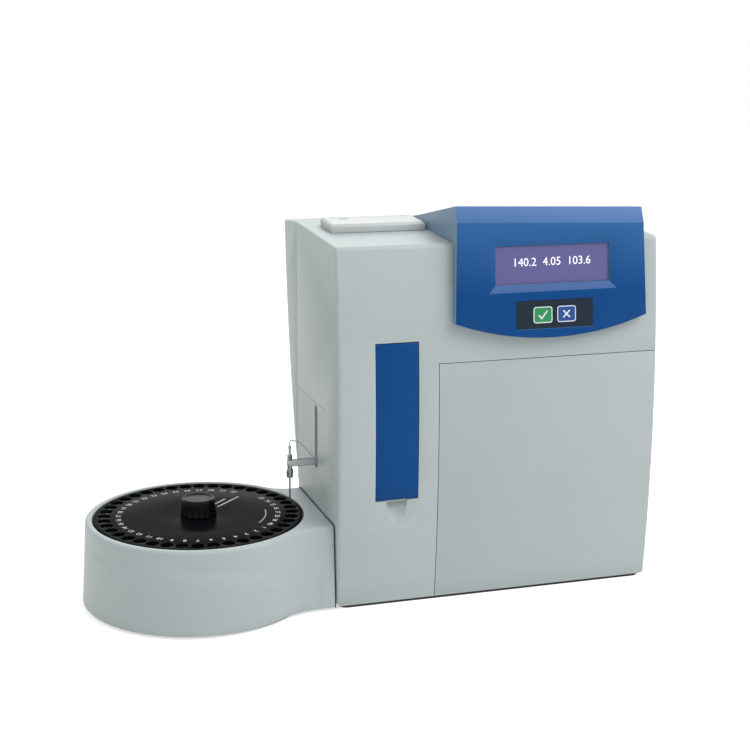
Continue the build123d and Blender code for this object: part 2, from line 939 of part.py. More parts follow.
def pump_head():
    """The peristaltic pump's fixed head, a ring open at the front and below."""
    rear = bay_rear
    front = rear - pump_depth
    ring = rod_y(front, rear, pump_x, pump_height, pump_radius)
    pocket = pump_roller_ring + pump_roller_radius + 2 * pump_tube_radius + rest_gap
    ring -= rod_y(front - 1, rear - bay_wall, pump_x, pump_height, pocket)
    ring -= block(pump_x - pocket, pump_x + pocket, front - 1, rear - bay_wall,
                  pump_height - 2 * pump_radius, pump_height)
    ring -= rod_y(rear - 2 * bay_wall, rear + 1, pump_x, pump_height, motor_shaft_radius + 1)
    return ring


def pump_rotor():
    """Three rollers between two cheeks on the pump's shaft."""
    rear = bay_rear - bay_wall - rest_gap
    front = bay_rear - pump_depth
    rotor = rod_y(rear - rotor_back_cheek, rear, pump_x, pump_height, pump_roller_ring)
    rotor += rod_y(front, front + rotor_front_cheek, pump_x, pump_height, pump_roller_ring)
    rotor += rod_y(front, bay_rear + 2 * bay_wall, pump_x, pump_height, motor_shaft_radius)
    for angle in (30, 150, 270):
        x = pump_x + pump_roller_ring * cos(radians(angle))
        z = pump_height + pump_roller_ring * sin(radians(angle))
        rotor += rod_y(front, rear, x, z, pump_roller_radius)
    return rotor


def pump_tube():
    """Soft tubing that the rollers squeeze against the head, with both ends hanging down."""
    radius = pump_roller_ring + pump_roller_radius + rest_gap + pump_tube_radius
    y = bay_rear - pump_depth / 2
    low = pump_height - pump_radius
    path = Wire([
        Line((pump_x - radius, y, low), (pump_x - radius, y, pump_height)),
        ThreePointArc((pump_x - radius, y, pump_height), (pump_x, y, pump_height + radius),
                      (pump_x + radius, y, pump_height)),
        Line((pump_x + radius, y, pump_height), (pump_x + radius, y, low)),
    ])
    section = Plane(origin=(pump_x - radius, y, low), z_dir=(0, 0, 1)) * Circle(pump_tube_radius - 0.2)
    return sweep(section, path)


def pump_motor():
    start = bay_rear + bay_wall
    motor = rod_y(start, start + pump_motor_length, pump_x, pump_height, pump_motor_radius)
    return motor - rod_y(start - 1, start + 2 * bay_wall, pump_x, pump_height, motor_shaft_radius + 1)


# Sample flap and recess
def sample_flap():
    """The blue cover in the tower's front, hung from its top edge."""
    flap = front_slab(flap_left, flap_right, flap_bottom, flap_axis_z, 0, flap_thickness)
    flap += rod_x(flap_left, flap_right, flap_axis_y, flap_axis_z, flap_barrel_radius)
    return flap - flap_pin_rods(flap_pin_radius + running_clearance, 1.0)


def flap_pin_rods(radius, extra):
    """The rods of the flap's two pins, or the holes that they run in."""
    rods = Part()
    for inner, outer in ((flap_left + flap_pin_reach + extra, flap_left - flap_gap - flap_pin_seat),
                         (flap_right - flap_pin_reach - extra, flap_right + flap_gap + flap_pin_seat)):
        rods += rod_x(min(inner, outer), max(inner, outer), flap_axis_y, flap_axis_z, radius)
    return rods


def flap_pins():
    """Two short steel pins that the flap swings on, held in the opening's edges."""
    return flap_pin_rods(flap_pin_radius, 0.0)


def sample_recess():
    """The niche behind the flap, where a tube is held up to the probe by hand."""
    low = flap_bottom - flap_gap - recess_wall
    high = flap_top + flap_gap + recess_wall
    tub = block(recess_left - recess_wall, recess_right + recess_wall, 0, recess_depth + recess_wall, low, high)
    tub -= block(recess_left, recess_right, -1, recess_depth, low + recess_wall, high - recess_wall)
    return tub - front_slab(0, seam_x, low - wall, high + wall, -3 * wall, wall)


def manual_probe():
    """The aspiration probe for single samples, in its holder on the niche's back wall."""
    x = (flap_left + flap_right) / 2
    y = recess_depth / 2 + holder_front - holder_radius
    holder = block(x - holder_width / 2, x + holder_width / 2, y - holder_front, recess_depth,
                   probe_holder_bottom, probe_holder_bottom + holder_height)
    holder = fillet(holder.edges().filter_by(Axis.Z), holder_radius)
    holder += rod_z(probe_tip + probe_length, probe_holder_bottom, x, y, fitting_radius)
    return holder + rod_z(probe_tip, probe_tip + probe_length, x, y, needle_radius)


# Left access panel
def side_access_panel():
    """A flat cover in the left side, with the slot for the needle's arm."""
    panel = block(0, wall, panel_front + panel_gap, rear_seam - panel_gap, panel_bottom + panel_gap,
                  panel_top - panel_gap)
    lip = block(wall, wall + panel_lip_thickness, panel_front - panel_lip, rear_base_depth - wall - panel_gap,
                panel_bottom - panel_lip, panel_top + panel_lip)
    panel += lip
    middle = (slot_bottom + slot_top) / 2
    slot = Pos(0, needle_y, middle) * Rot(0, 90, 0) * extrude(
        SlotOverall(slot_top - slot_bottom, slot_width), wall * 4, both=True
    )
    return panel - slot


# Rear cover, rear panel and bases
def rear_cover():
    """The wedge-shaped back, with cooling slots and a bead that laps inside the front moulding."""
    cover = body_skin & block(
        -wall, body_width + wall, rear_seam + cover_gap, body_depth + wall, cover_bottom + cover_gap,
        body_height + wall,
    )
    lap = housing_cavity() & block(
        -wall, body_width + wall, rear_seam - lap_width, rear_seam + lap_width, panel_top + 3 * panel_lip,
        body_height + wall,
    )
    lap -= Pos(wall + lap_thickness, 0, 0) * extrude(side_face(wall + lap_thickness),
                                                       body_width - 2 * (wall + lap_thickness))
    cover += lap
    first = body_width / 2 - (vent_count - 1) / 2 * vent_pitch
    for index in range(vent_count):
        x = first + index * vent_pitch
        cover -= block(x - vent_width / 2, x + vent_width / 2, rear_seam + 2 * lap_width, body_depth + wall,
                       vent_bottom, vent_top)
    return cover


def rear_panel():
    """A steel plate inside the rear opening that holds the power inlet and the serial port."""
    inner = rear_base_depth - wall
    plate = block(
        rear_opening_left - rear_panel_margin, rear_opening_right + rear_panel_margin,
        inner - rear_panel_thickness, inner,
        rear_opening_bottom - rear_panel_margin, rear_opening_top + rear_panel_margin,
    )
    middle = (rear_opening_bottom + rear_opening_top) / 2
    plate -= block(inlet_x - inlet_width / 2, inlet_x + inlet_width / 2, inner - 2 * wall, inner + wall,
                   middle - inlet_height / 2, middle + inlet_height / 2)
    half = serial_width / 2 - port_body_inset + inlet_clear
    tall = serial_height / 2 - port_body_rim + inlet_clear
    plate -= block(serial_x - half, serial_x + half, inner - 2 * wall, inner + wall, middle - tall, middle + tall)
    return plate


def inlet_places():
    """The heights of the socket, the fuse drawer and the switch in the inlet's face."""
    middle = (rear_opening_bottom + rear_opening_top) / 2
    socket_z = middle - inlet_height / 2 + socket_height / 2 + socket_inset
    fuse_z = socket_z + socket_height / 2 + socket_inset + fuse_height / 2
    rocker_z = fuse_z + fuse_height / 2 + socket_inset + rocker_height / 2
    return socket_z, fuse_z, rocker_z


def mains_inlet():
    """The inlet's body: a socket, a pocket for the fuse drawer and a switch pocket in one moulding."""
    face = rear_base_depth - wall
    middle = (rear_opening_bottom + rear_opening_top) / 2
    socket_z, fuse_z, rocker_z = inlet_places()
    half = inlet_width / 2 - inlet_clear
    tall = inlet_height / 2 - inlet_clear
    body = block(inlet_x - half, inlet_x + half, face - inlet_depth, face, middle - tall, middle + tall)
    body += block(
        inlet_x - inlet_width / 2 - inlet_flange, inlet_x + inlet_width / 2 + inlet_flange,
        face, face + inlet_flange_thickness,
        middle - inlet_height / 2 - inlet_flange, middle + inlet_height / 2 + inlet_flange,
    )
    front = face + inlet_flange_thickness
    outside = front + cut_over
    socket = block(inlet_x - socket_width / 2, inlet_x + socket_width / 2, front - socket_depth, outside,
                   socket_z - socket_height / 2, socket_z + socket_height / 2)
    body -= chamfer(socket.edges().filter_by(Axis.Y).group_by(Axis.Z)[-1], socket_corner)
    body -= block(inlet_x - fuse_width / 2, inlet_x + fuse_width / 2, front - fuse_depth, outside,
                  fuse_z - fuse_height / 2, fuse_z + fuse_height / 2)
    body -= block(inlet_x - rocker_width / 2 - rocker_gap, inlet_x + rocker_width / 2 + rocker_gap,
                  front - fuse_depth, outside,
                  rocker_z - rocker_height / 2 - rocker_gap, rocker_z + rocker_height / 2 + rocker_gap)
    for x, z in ((0, blade_lift), (-blade_offset, -blade_lift), (blade_offset, -blade_lift)):
        body += block(inlet_x + x - blade_half_width, inlet_x + x + blade_half_width,
                      front - cut_over - socket_depth, outside - blade_setback,
                      socket_z + z - blade_half_height, socket_z + z + blade_half_height)
    return body


def fuse_drawer():
    face = rear_base_depth - wall + inlet_flange_thickness
    fuse_z = inlet_places()[1]
    half = fuse_width / 2 - inlet_clear
    tall = fuse_height / 2 - inlet_clear
    return block(inlet_x - half, inlet_x + half, face - fuse_depth + inlet_clear, face + drawer_proud,
                 fuse_z - tall, fuse_z + tall)


def power_rocker():
    """The mains switch's rocker, a shallow vee that tips about its middle."""
    face = rear_base_depth - wall + inlet_flange_thickness
    z = inlet_places()[2]
    rise = rocker_height / 2 * tan(radians(rocker_angle))
    half = rocker_height / 2
    high = face + rocker_proud
    outline = Polyline(
        (face - rocker_root, z - half + rocker_taper), (high + rise, z - half), (high, z), (high + rise, z + half),
        (face - rocker_root, z + half - rocker_taper), close=True,
    )
    rocker = Pos(inlet_x - rocker_width / 2, 0, 0) * extrude(Plane.YZ * make_face(outline), rocker_width)
    pivot = Pos(0, face - rocker_pivot_depth, z)
    return pivot * Rot(rocker_angle, 0, 0) * pivot.inverse() * rocker


def serial_port():
    """A nine-pin socket: shell outside, body inside."""
    face = rear_base_depth - wall
    z = (rear_opening_bottom + rear_opening_top) / 2
    half = serial_width / 2
    tall = serial_height / 2
    port = block(serial_x - half + port_body_inset, serial_x + half - port_body_inset, face - port_body_depth, face,
                 z - tall + port_body_rim, z + tall - port_body_rim)
    port += block(serial_x - half, serial_x + half, face, face + port_plate, z - tall, z + tall)
    front = face + port_plate
    half = port_shell_width / 2
    tall = port_shell_height / 2
    shell = block(serial_x - half, serial_x + half, front, front + port_reach, z - tall, z + tall)
    half -= port_shell_wall
    tall -= port_shell_wall
    shell -= block(serial_x - half, serial_x + half, front + port_plate, front + port_reach + cut_over,
                   z - tall, z + tall)
    for side in (-1, 1):
        port += rod_y(front, front + port_screw_reach, serial_x + side * port_screw_offset, z, port_screw_radius)
    return port + shell


def base_plate():
    """The steel floor inside the housing's skirt."""
    gap = cover_gap
    plate = block(wall + gap, seam_x - wall - gap, front_y(0, wall) + gap, rear_base_depth - wall - gap,
                  plate_rise, plate_top)
    plate += block(seam_x - wall - 2 * gap, body_width - wall - gap, flange_front, rear_base_depth - wall - gap,
                   plate_rise, plate_top)
    plate -= block(seam_x - wall - gap, seam_x + gap, 0, flange_rear + gap, -1, plate_top + 1)
    for x, y in boss_places:
        plate -= rod_z(0, plate_top + 1, x, y, screw_radius + screw_hole_gap)
    return plate


def feet(places):
    """Turned rubber feet, each a low puck with a rounded rim."""
    group = Part()
    for x, y in places:
        foot = rod_z(-foot_height, plate_rise, x, y, foot_radius)
        foot = chamfer(foot.edges().group_by(Axis.Z)[0], foot_chamfer)
        group += foot
    return group


def screws_up(places, z):
    """Pan-head screws driven upwards through a plate."""
    group = Part()
    for x, y in places:
        screw = rod_z(z - screw_head_height, z, x, y, screw_head_radius)
        screw += rod_z(z, z + plate_thickness + screw_length - 2, x, y, screw_radius)
        group += screw
    return group


# Board and supply
def main_board():
    board = block(board_left, board_right, board_front, board_front + board_thickness, board_bottom, board_top)
    face = board_front + board_thickness
    chip_x = board_left + chip_inset
    chip_z = board_bottom + chip_rise
    chip = block(chip_x, chip_x + chip_size, face, face + chip_height, chip_z, chip_z + chip_size)
    plug_x = board_left + plug_inset
    plug_z = board_bottom + plug_rise
    plug = block(plug_x, plug_x + plug_length, face, face + plug_width, plug_z, plug_z + plug_width)
    can = rod_y(face, face + can_height, board_right - can_inset, board_bottom + can_rise, can_radius)
    return board + chip + plug + can


def power_supply():
    left = bay_left + supply_inset
    front = bay_rear + bay_wall + supply_radius
    supply = block(left, left + supply_width, front, front + supply_depth, plate_top, plate_top + supply_height)
    return fillet(supply.edges().filter_by(Axis.Y), supply_radius)


# Display console
def console_hood():
    """The faceted hood, with the display's sloping bezel and a shallow bed for the keys."""
    hood = console_form(0) - console_form(console_wall)
    behind = bezel_depth + bezel_lip
    margin = bezel_flare + bezel_lip
    hood += on_console(
        window_left - margin, window_right + margin, window_bottom - margin, window_top + margin, 0, behind
    )
    hood -= bezel_cut()
    for x in (keypad_left + keypad_post_inset, keypad_right - keypad_post_inset):
        for z in (keypad_bottom + keypad_post_inset, keypad_top - keypad_post_inset):
            hood += on_console(x - 2, x + 2, z - 2, z + 2, -console_wall / 2, keypad_board_depth)
    hood -= on_console(keypad_left, keypad_right, keypad_bottom, keypad_top, 1, keypad_thickness)
    for index in range(2):
        hood -= key_block(index, key_clearance, 1, keypad_board_depth)
    fit_gap = Pos(-wall, 0, 0) * extrude(side_face(-seat_gap), body_width + 2 * wall)
    return hood - fit_gap


def bezel_cut():
    """A funnel from the hood's front down to the display's window, and the window's hole."""
    outer = console_rectangle(bezel_flare, 0.0)
    inner = console_rectangle(0.0, bezel_depth)
    return loft([outer, inner], ruled=True) + on_console(
        window_left, window_right, window_bottom, window_top, -bezel_depth + bezel_lip, bezel_depth + 3 * bezel_lip
    )


def console_rectangle(margin, depth):
    """The display's rectangle in the hood's front, widened by a margin and set back by a depth."""
    width = window_right - window_left + 2 * margin
    height = (window_top - window_bottom + 2 * margin) * console_slope
    x = (window_left + window_right) / 2
    v = ((window_bottom + window_top) / 2 - console_corner_height) * console_slope
    return console_plane * Pos(x, v, -depth) * Rectangle(width, height)


def display_window():
    """The clear pane behind the bezel."""
    near = bezel_depth + bezel_lip
    return on_console(
        window_left - bezel_lip, window_right + bezel_lip, window_bottom - bezel_lip, window_top + bezel_lip,
        -near, near + pane_thickness,
    )


def display_module():
    """The liquid-crystal module with its circuit board."""
    near = bezel_depth + bezel_lip + pane_thickness
    module = on_console(window_left, window_right, window_bottom, window_top, -near, near + module_depth)
    back = near + module_depth
    margin = 2 * bezel_lip
    module += on_console(
        window_left - margin, window_right + margin, window_bottom - margin, window_top + margin,
        -back, back + board_thickness,
    )
    return module


def key_block(index, gap, out, back):
    """One key's rounded block, or the hole it slides in."""
    x = key_left_edge + index * (key_width + key_gap_centre)
    form = on_console(x - gap, x + key_width + gap, key_bottom - gap, key_bottom + key_height + gap, out, back)
    upright = form.edges().filter_by(lambda edge: abs((edge @ 1 - edge @ 0).Z) < abs((edge @ 1 - edge @ 0).Y))
    return fillet(upright, key_corner_radius + gap)


def keypad_panel():
    """The overlay round the keys."""
    panel = on_console(
        keypad_left + seat_gap, keypad_right - seat_gap, keypad_bottom + seat_gap, keypad_top - seat_gap,
        0, keypad_thickness,
    )
    for index in range(2):
        panel -= key_block(index, key_clearance, 1, keypad_board_depth)
    return panel


def key_cap(index):
    """A key with a rim at the back that keeps it behind the hood."""
    cap = key_block(index, 0.0, key_proud, console_wall + key_travel)
    x = key_left_edge + index * (key_width + key_gap_centre)
    rim = key_rim
    near = console_wall + rest_gap
    return cap + on_console(
        x - rim, x + key_width + rim, key_bottom - rim, key_bottom + key_height + rim, -near, near + key_travel
    )


def keypad_board():
    """The small circuit board that the keys press on."""
    return on_console(
        keypad_left, keypad_right, keypad_bottom, keypad_top, -keypad_board_depth,
        keypad_board_depth + board_thickness,
    )


# Printer
def lid_profile(inset):
    """The lid's section from front to back: a bevelled nose, a sloping top and a round hinge edge."""
    low = body_height + lid_lift
    high = body_height + lid_height
    radius = lid_barrel_radius - inset
    outline = [
        Line((lid_front + inset, low - inset), (lid_front + inset, high - lid_edge)),
        Line((lid_front + inset, high - lid_edge), (lid_front + lid_edge, high - inset)),
        Line((lid_front + lid_edge, high - inset), (lid_axis_y, lid_axis_z + radius)),
        Line((lid_axis_y, lid_axis_z + radius), (lid_axis_y, low - inset)),
        Line((lid_axis_y, low - inset), (lid_front + inset, low - inset)),
    ]
    return Plane.YZ * make_face(outline)


def printer_lid():
    """The white lid over the paper bay, with bevelled ends and arms for the platen roller."""
    lid = Pos(lid_left, 0, 0) * extrude(lid_profile(0), lid_right - lid_left)
    lid = chamfer(lid.edges().filter_by(lambda edge: edge.center().Z > body_height + lid_height - lid_edge * 2
                                        and abs(edge.tangent_at(0).X) < 0.1
                                        and edge.length > (lid_rear - lid_front) / 3), lid_edge)
    lid -= block(lid_left + lid_wall, lid_right - lid_wall, lid_front + lid_wall, lid_axis_y - lid_hinge_clear,
                 body_height - wall, body_height + lid_height) & lid_core()
    lid += rod_x(lid_left + lid_edge, lid_right - lid_edge, lid_axis_y, lid_axis_z, lid_barrel_radius)
    lid -= rod_x(lid_left - 1, lid_right + 1, lid_axis_y, lid_axis_z, lid_pin_radius + running_clearance)
    for x in lid_ear_places:
        lid -= block(x - lid_ear_gap, x + lid_ear_width + lid_ear_gap, lid_axis_y - lid_hinge_clear,
                     lid_rear + wall, body_height, body_height + lid_height)
    for x in platen_arm_places:
        arm = block(x, x + platen_arm_width, platen_axis_y - platen_arm_width, platen_axis_y + platen_arm_width,
                    platen_axis_z, body_height + lid_height - lid_wall / 2)
        arm += rod_x(x, x + platen_arm_width, platen_axis_y, platen_axis_z, platen_arm_width)
        lid += arm - rod_x(x - 1, x + platen_arm_width + 1, platen_axis_y, platen_axis_z,
                           platen_shaft_radius + running_clearance)
    return lid


def lid_core():
    """The space under the lid's top skin."""
    return Pos(lid_left, 0, 0) * extrude(lid_profile(lid_wall), lid_right - lid_left)


def lid_pin():
    return rod_x(lid_left + lid_edge, lid_right - lid_edge, lid_axis_y, lid_axis_z, lid_pin_radius)


def lid_tab():
    """The dark finger tab let into the lid's top near its hinge."""
    slope = (lid_axis_z + lid_barrel_radius - body_height - lid_height) / (lid_axis_y - lid_front - lid_edge)
    y = lid_axis_y - tab_inset
    z = body_height + lid_height + slope * (y - lid_front - lid_edge)
    return Pos(tab_x, y, z + tab_height / 2) * Rot(degrees(atan(slope)), 0, 0) * Box(tab_width, tab_depth, tab_height)


def printer_tub():
    """The paper bay let into the top, with two cheeks that carry the roll and ears for the lid."""
    low = body_height - tub_depth
    tub = block(tub_left, tub_right, tub_front, tub_rear, low, body_height)
    tub -= block(tub_left + tub_wall, tub_right - tub_wall, tub_front + tub_wall, tub_rear - tub_wall,
                 low + tub_wall, body_height + 1)
    roll_z = roll_height()
    for x in roll_cheek_places:
        cheek = block(x, x + roll_cheek, roll_axis_y - roll_radius / 2, roll_axis_y + roll_radius / 2,
                      low + tub_wall / 2, roll_z + roll_core_radius)
        slot = rod_x(x - 1, x + roll_cheek + 1, roll_axis_y, roll_z, roll_pin_radius + running_clearance)
        slot += block(x - 1, x + roll_cheek + 1, roll_axis_y - roll_pin_radius - running_clearance,
                      roll_axis_y + roll_pin_radius + running_clearance, roll_z, body_height)
        tub += cheek - slot
    return tub


def lid_ears():
    """Two ears moulded on the housing's top behind the paper bay, for the lid's pin."""
    ears = Part()
    for x in lid_ear_places:
        ears += rod_x(x, x + lid_ear_width, lid_axis_y, lid_axis_z, lid_barrel_radius)
        ears += block(x, x + lid_ear_width, lid_axis_y - lid_barrel_radius, lid_axis_y + lid_barrel_radius,
                      body_height - 1, lid_axis_z)
    return ears - rod_x(lid_left, lid_right, lid_axis_y, lid_axis_z, lid_pin_radius)


def roll_height():
    return body_height - tub_depth + tub_wall + roll_rest_gap + roll_radius


def paper_roll():
    """A roll of receipt paper on its core."""
    middle = (tub_left + tub_right) / 2
    roll = rod_x(middle - roll_width / 2, middle + roll_width / 2, roll_axis_y, roll_height(), roll_radius)
    return roll - rod_x(tub_left, tub_right, roll_axis_y, roll_height(), roll_core_radius)


def roll_spindle():
    """The spindle through the roll's core, with a thin journal at each end."""
    middle = (tub_left + tub_right) / 2
    core = rod_x(middle - roll_width / 2, middle + roll_width / 2, roll_axis_y, roll_height(),
                 roll_core_radius - running_clearance)
    return core + rod_x(roll_cheek_places[0] - 1, roll_cheek_places[1] + roll_cheek + 1, roll_axis_y, roll_height(),
                        roll_pin_radius)


def platen_roller():
    """The rubber roller that feeds the paper, on its steel shaft."""
    middle = (tub_left + tub_right) / 2
    return rod_x(middle - platen_length / 2, middle + platen_length / 2, platen_axis_y, platen_axis_z,
                 platen_radius) - platen_shaft()


def platen_shaft():
    return rod_x(platen_arm_places[0], platen_arm_places[1] + platen_arm_width, platen_axis_y, platen_axis_z,
                 platen_shaft_radius)


def print_head():
    """The thermal head on the bay's front wall, just clear of the platen."""
    middle = (tub_left + tub_right) / 2
    near = platen_axis_y - platen_radius - head_gap
    head = block(middle - platen_length / 2, middle + platen_length / 2, tub_front + tub_wall, near,
                 platen_axis_z - platen_radius, platen_axis_z + 2)
    return head


# Autosampler
def swoosh_heights():
    """Points along the styling ledge: the angle about the drum and the height of the ledge's inner edge."""
    return [(-170, 62), (-156, 65.5), (-134, 67), (-114, 66), (-94, 62.5), (-72, 54), (-60, 41), (-48, 22)]


def swoosh_form():
    """The drum's lower front, which stands proud below a sloping ledge and fades out at both ends."""
    share = cos(radians(swoosh_wrap))
    shift = swoosh_proud / (1 - share)
    shrink = shift * share
    x = sampler_x + shift * cos(radians(swoosh_middle))
    y = sampler_y + shift * sin(radians(swoosh_middle))
    drum = loft([
        Pos(x - drum_base_shift, y, 0) * Circle(drum_radius_base - shrink),
        Pos(x, y, deck_height) * Circle(drum_radius_top - shrink),
    ], ruled=True)
    reach = swoosh_depth
    sections = []
    for angle, height in swoosh_heights():
        turn = radians(angle)
        radial = Plane(origin=(sampler_x, sampler_y, 0), x_dir=(cos(turn), sin(turn), 0),
                       z_dir=(sin(turn), -cos(turn), 0))
        sections.append(radial * make_face(Polyline(
            (drum_radius_top - reach, height + reach * swoosh_fall),
            (drum_radius_top + reach, height - reach * swoosh_fall),
            (drum_radius_top + reach, -wall), (drum_radius_top - reach, -wall), close=True,
        )))
    return drum & loft(sections)


def sampler_housing():
    """The drum and neck in one moulding, with the well that the turntable runs in."""
    outer = sampler_block(0, 0, deck_height) + swoosh_form()
    rim = [
        edge for edge in outer.edges()
        if edge.bounding_box().min.Z > deck_height - 0.01 and edge.bounding_box().min.X < -sampler_gap - 0.01
    ]
    outer = fillet(rim, drum_edge_radius)
    shell = outer - sampler_block(drum_wall, -1, deck_height - drum_wall)
    shell += rod_z(well_floor - drum_wall, deck_height - drum_wall / 2, sampler_x, sampler_y,
                   well_radius + well_wall)
    shell -= rod_z(well_floor, deck_height + 1, sampler_x, sampler_y, well_radius)
    lip = [
        edge for edge in shell.edges().filter_by(GeomType.CIRCLE)
        if abs(edge.radius - well_radius) < 0.01 and edge.center().Z > deck_height - 0.01
    ]
    shell = chamfer(lip, drum_wall / 3)
    shell += rod_z(bearing_bottom, bearing_boss_top, sampler_x, sampler_y, bearing_boss_radius)
    shell -= rod_z(0, bearing_bottom + bearing_width, sampler_x, sampler_y, bearing_radius)
    shell -= rod_z(0, deck_height, sampler_x, sampler_y, spindle_radius + 1)
    shell -= block(
        -sampler_gap - 2 * drum_wall, 0, neck_front_top + 2 * drum_wall, neck_rear - 2 * drum_wall,
        -1, deck_height - 4 * drum_wall,
    )
    for x, y in sampler_boss_places:
        shell += rod_z(plate_top, well_floor - drum_wall / 2, x, y, boss_radius)
        shell -= rod_z(0, plate_top + screw_length - 1, x, y, screw_radius + screw_hole_gap)
    return shell


def sampler_base():
    """The steel floor of the drum and neck."""
    plate = sampler_block(drum_wall + cover_gap, plate_rise, plate_top)
    for x, y in sampler_boss_places:
        plate -= rod_z(0, plate_top + 1, x, y, screw_radius + screw_hole_gap)
    return plate


def tooth_half_angle(radius, teeth):
    """Half of an involute tooth's angle at one radius, in radians, thinned for backlash."""
    pitch_radius = gear_module * teeth / 2
    base_radius = pitch_radius * cos(radians(pressure_angle))
    turn = radians(pressure_angle)
    at_pitch = tan(turn) - turn
    here = acos(min(1.0, base_radius / radius))
    return pi / (2 * teeth) - gear_backlash / (4 * pitch_radius) + at_pitch - (tan(here) - here)


def gear(teeth, width):
    """A spur gear about Z, with one tooth centred on X."""
    pitch_radius = gear_module * teeth / 2
    root = pitch_radius - 1.25 * gear_module
    tip = pitch_radius + gear_module
    base = pitch_radius * cos(radians(pressure_angle))
    radii = [root, max(root + 0.1, base), pitch_radius, tip]
    points = []
    for index in range(teeth):
        middle = 2 * pi * index / teeth
        halves = [(radius, tooth_half_angle(max(radius, base), teeth)) for radius in radii]
        for radius, half in halves:
            points.append((radius * cos(middle - half), radius * sin(middle - half)))
        for radius, half in reversed(halves):
            points.append((radius * cos(middle + half), radius * sin(middle + half)))
    return extrude(make_face(Polyline(*points, close=True)), width)


def turntable_gear():
    """The large wheel on the turntable's spindle."""
    wheel = Pos(sampler_x, sampler_y, wheel_height) * gear(wheel_teeth, gear_width)
    wheel += rod_z(wheel_height, bearing_bottom - 1, sampler_x, sampler_y, wheel_hub_radius)
    return wheel - rod_z(0, deck_height, sampler_x, sampler_y, spindle_radius)


def turntable_pinion():
    """The motor's pinion, with a gap facing the wheel's tooth."""
    pinion = Pos(pinion_x, sampler_y, wheel_height) * Rot(0, 0, 180 + 180 / pinion_teeth) * gear(
        pinion_teeth, gear_width)
    return pinion - rod_z(0, deck_height, pinion_x, sampler_y, motor_shaft_radius)


def pinion_shaft():
    return rod_z(plate_top + pin_floor + rest_gap, wheel_height + gear_width + 1, pinion_x, sampler_y,
                 motor_shaft_radius)


def turntable_motor():
    half = motor_side / 2
    motor = block(pinion_x - half, pinion_x + half, sampler_y - half, sampler_y + half, plate_top,
                  plate_top + motor_height)
    motor = chamfer(motor.edges().filter_by(Axis.Z), motor_chamfer)
    bore = motor_shaft_radius + running_clearance
    return motor - rod_z(plate_top + pin_floor, deck_height, pinion_x, sampler_y, bore)


def spindle_bearing():
    ring = rod_z(bearing_bottom, bearing_bottom + bearing_width, sampler_x, sampler_y, bearing_radius)
    return ring - rod_z(0, deck_height, sampler_x, sampler_y, spindle_radius + running_clearance)


def spindle_bush():
    bush = rod_z(plate_top, plate_top + bush_height, sampler_x, sampler_y, bush_radius)
    return bush - rod_z(plate_top + pin_floor, deck_height, sampler_x, sampler_y, spindle_radius + running_clearance)


def turntable_spindle():
    return rod_z(plate_top + pin_floor + rest_gap, disc_top + pin_floor, sampler_x, sampler_y, spindle_radius)


def turntable_disc():
    """The numbered disc with forty tube holes and a hub below."""
    disc = rod_z(disc_bottom, disc_top, sampler_x, sampler_y, disc_radius)
    disc = chamfer(disc.edges().group_by(Axis.Z)[-1], disc_chamfer)
    disc += rod_z(disc_bottom - hub_drop, disc_bottom, sampler_x, sampler_y, knob_radius_base)
    disc -= rod_z(0, deck_height, sampler_x, sampler_y, spindle_radius)
    holes = Part()
    for index in range(tube_count):
        angle = 2 * pi * index / tube_count + asin((needle_y - sampler_y) / tube_ring_radius)
        x = sampler_x + tube_ring_radius * cos(angle)
        y = sampler_y + tube_ring_radius * sin(angle)
        holes += rod_z(disc_bottom - 1, disc_top + 1, x, y, tube_hole_radius)
    return disc - holes


def tube_support_plate():
    """The lower plate that the tubes stand on, with a raised rim outside them."""
    high = disc_bottom - support_drop
    low = high - support_thickness
    radius = tube_ring_radius + tube_hole_radius + support_margin
    top = high + support_rim
    plate = rod_z(low, top, sampler_x, sampler_y, radius)
    plate -= rod_z(high, top + cut_over, sampler_x, sampler_y, radius - support_margin)
    plate += rod_z(bearing_boss_top + rest_gap, top, sampler_x, sampler_y, 2 * spindle_radius)
    return plate - rod_z(0, deck_height, sampler_x, sampler_y, spindle_radius)


def spacer_posts():
    posts = Part()
    for index in range(spacer_count):
        angle = 2 * pi * (index + 0.5) / spacer_count
        posts += rod_z(disc_bottom - support_drop, disc_bottom, sampler_x + spacer_ring * cos(angle),
                       sampler_y + spacer_ring * sin(angle), spindle_radius)
    return posts


def turntable_knob():
    """The fluted knob that the turntable is lifted and turned by."""
    knob = Pos(sampler_x, sampler_y, disc_top) * Cone(
        knob_radius_base, knob_radius_top, knob_height, align=(Align.CENTER, Align.CENTER, Align.MIN))
    knob = fillet(knob.edges().group_by(Axis.Z)[-1], edge_radius)
    for index in range(knob_flutes):
        angle = 2 * pi * index / knob_flutes
        reach = knob_radius_base + knob_flute_radius - knob_flute_depth
        knob -= rod_z(disc_top + pin_floor, disc_top + knob_height - edge_radius, sampler_x + reach * cos(angle),
                      sampler_y + reach * sin(angle), knob_flute_radius)
    return knob - rod_z(0, disc_top + pin_floor, sampler_x, sampler_y, spindle_radius)


# Needle and lift
def needle():
    return rod_z(needle_tip, needle_top, needle_x, needle_y, needle_radius)


def needle_arm():
    """The bar that carries the needle out through the slot."""
    half = arm_width / 2
    arm = block(needle_x - half, carriage_left, needle_y - half, needle_y + half, arm_bottom,
                arm_bottom + arm_height)
    arm = fillet(arm.edges().filter_by(Axis.Z).group_by(Axis.X)[0], half - 0.1)
    return arm - rod_z(0, body_height, needle_x, needle_y, needle_radius + needle_bore_clearance)


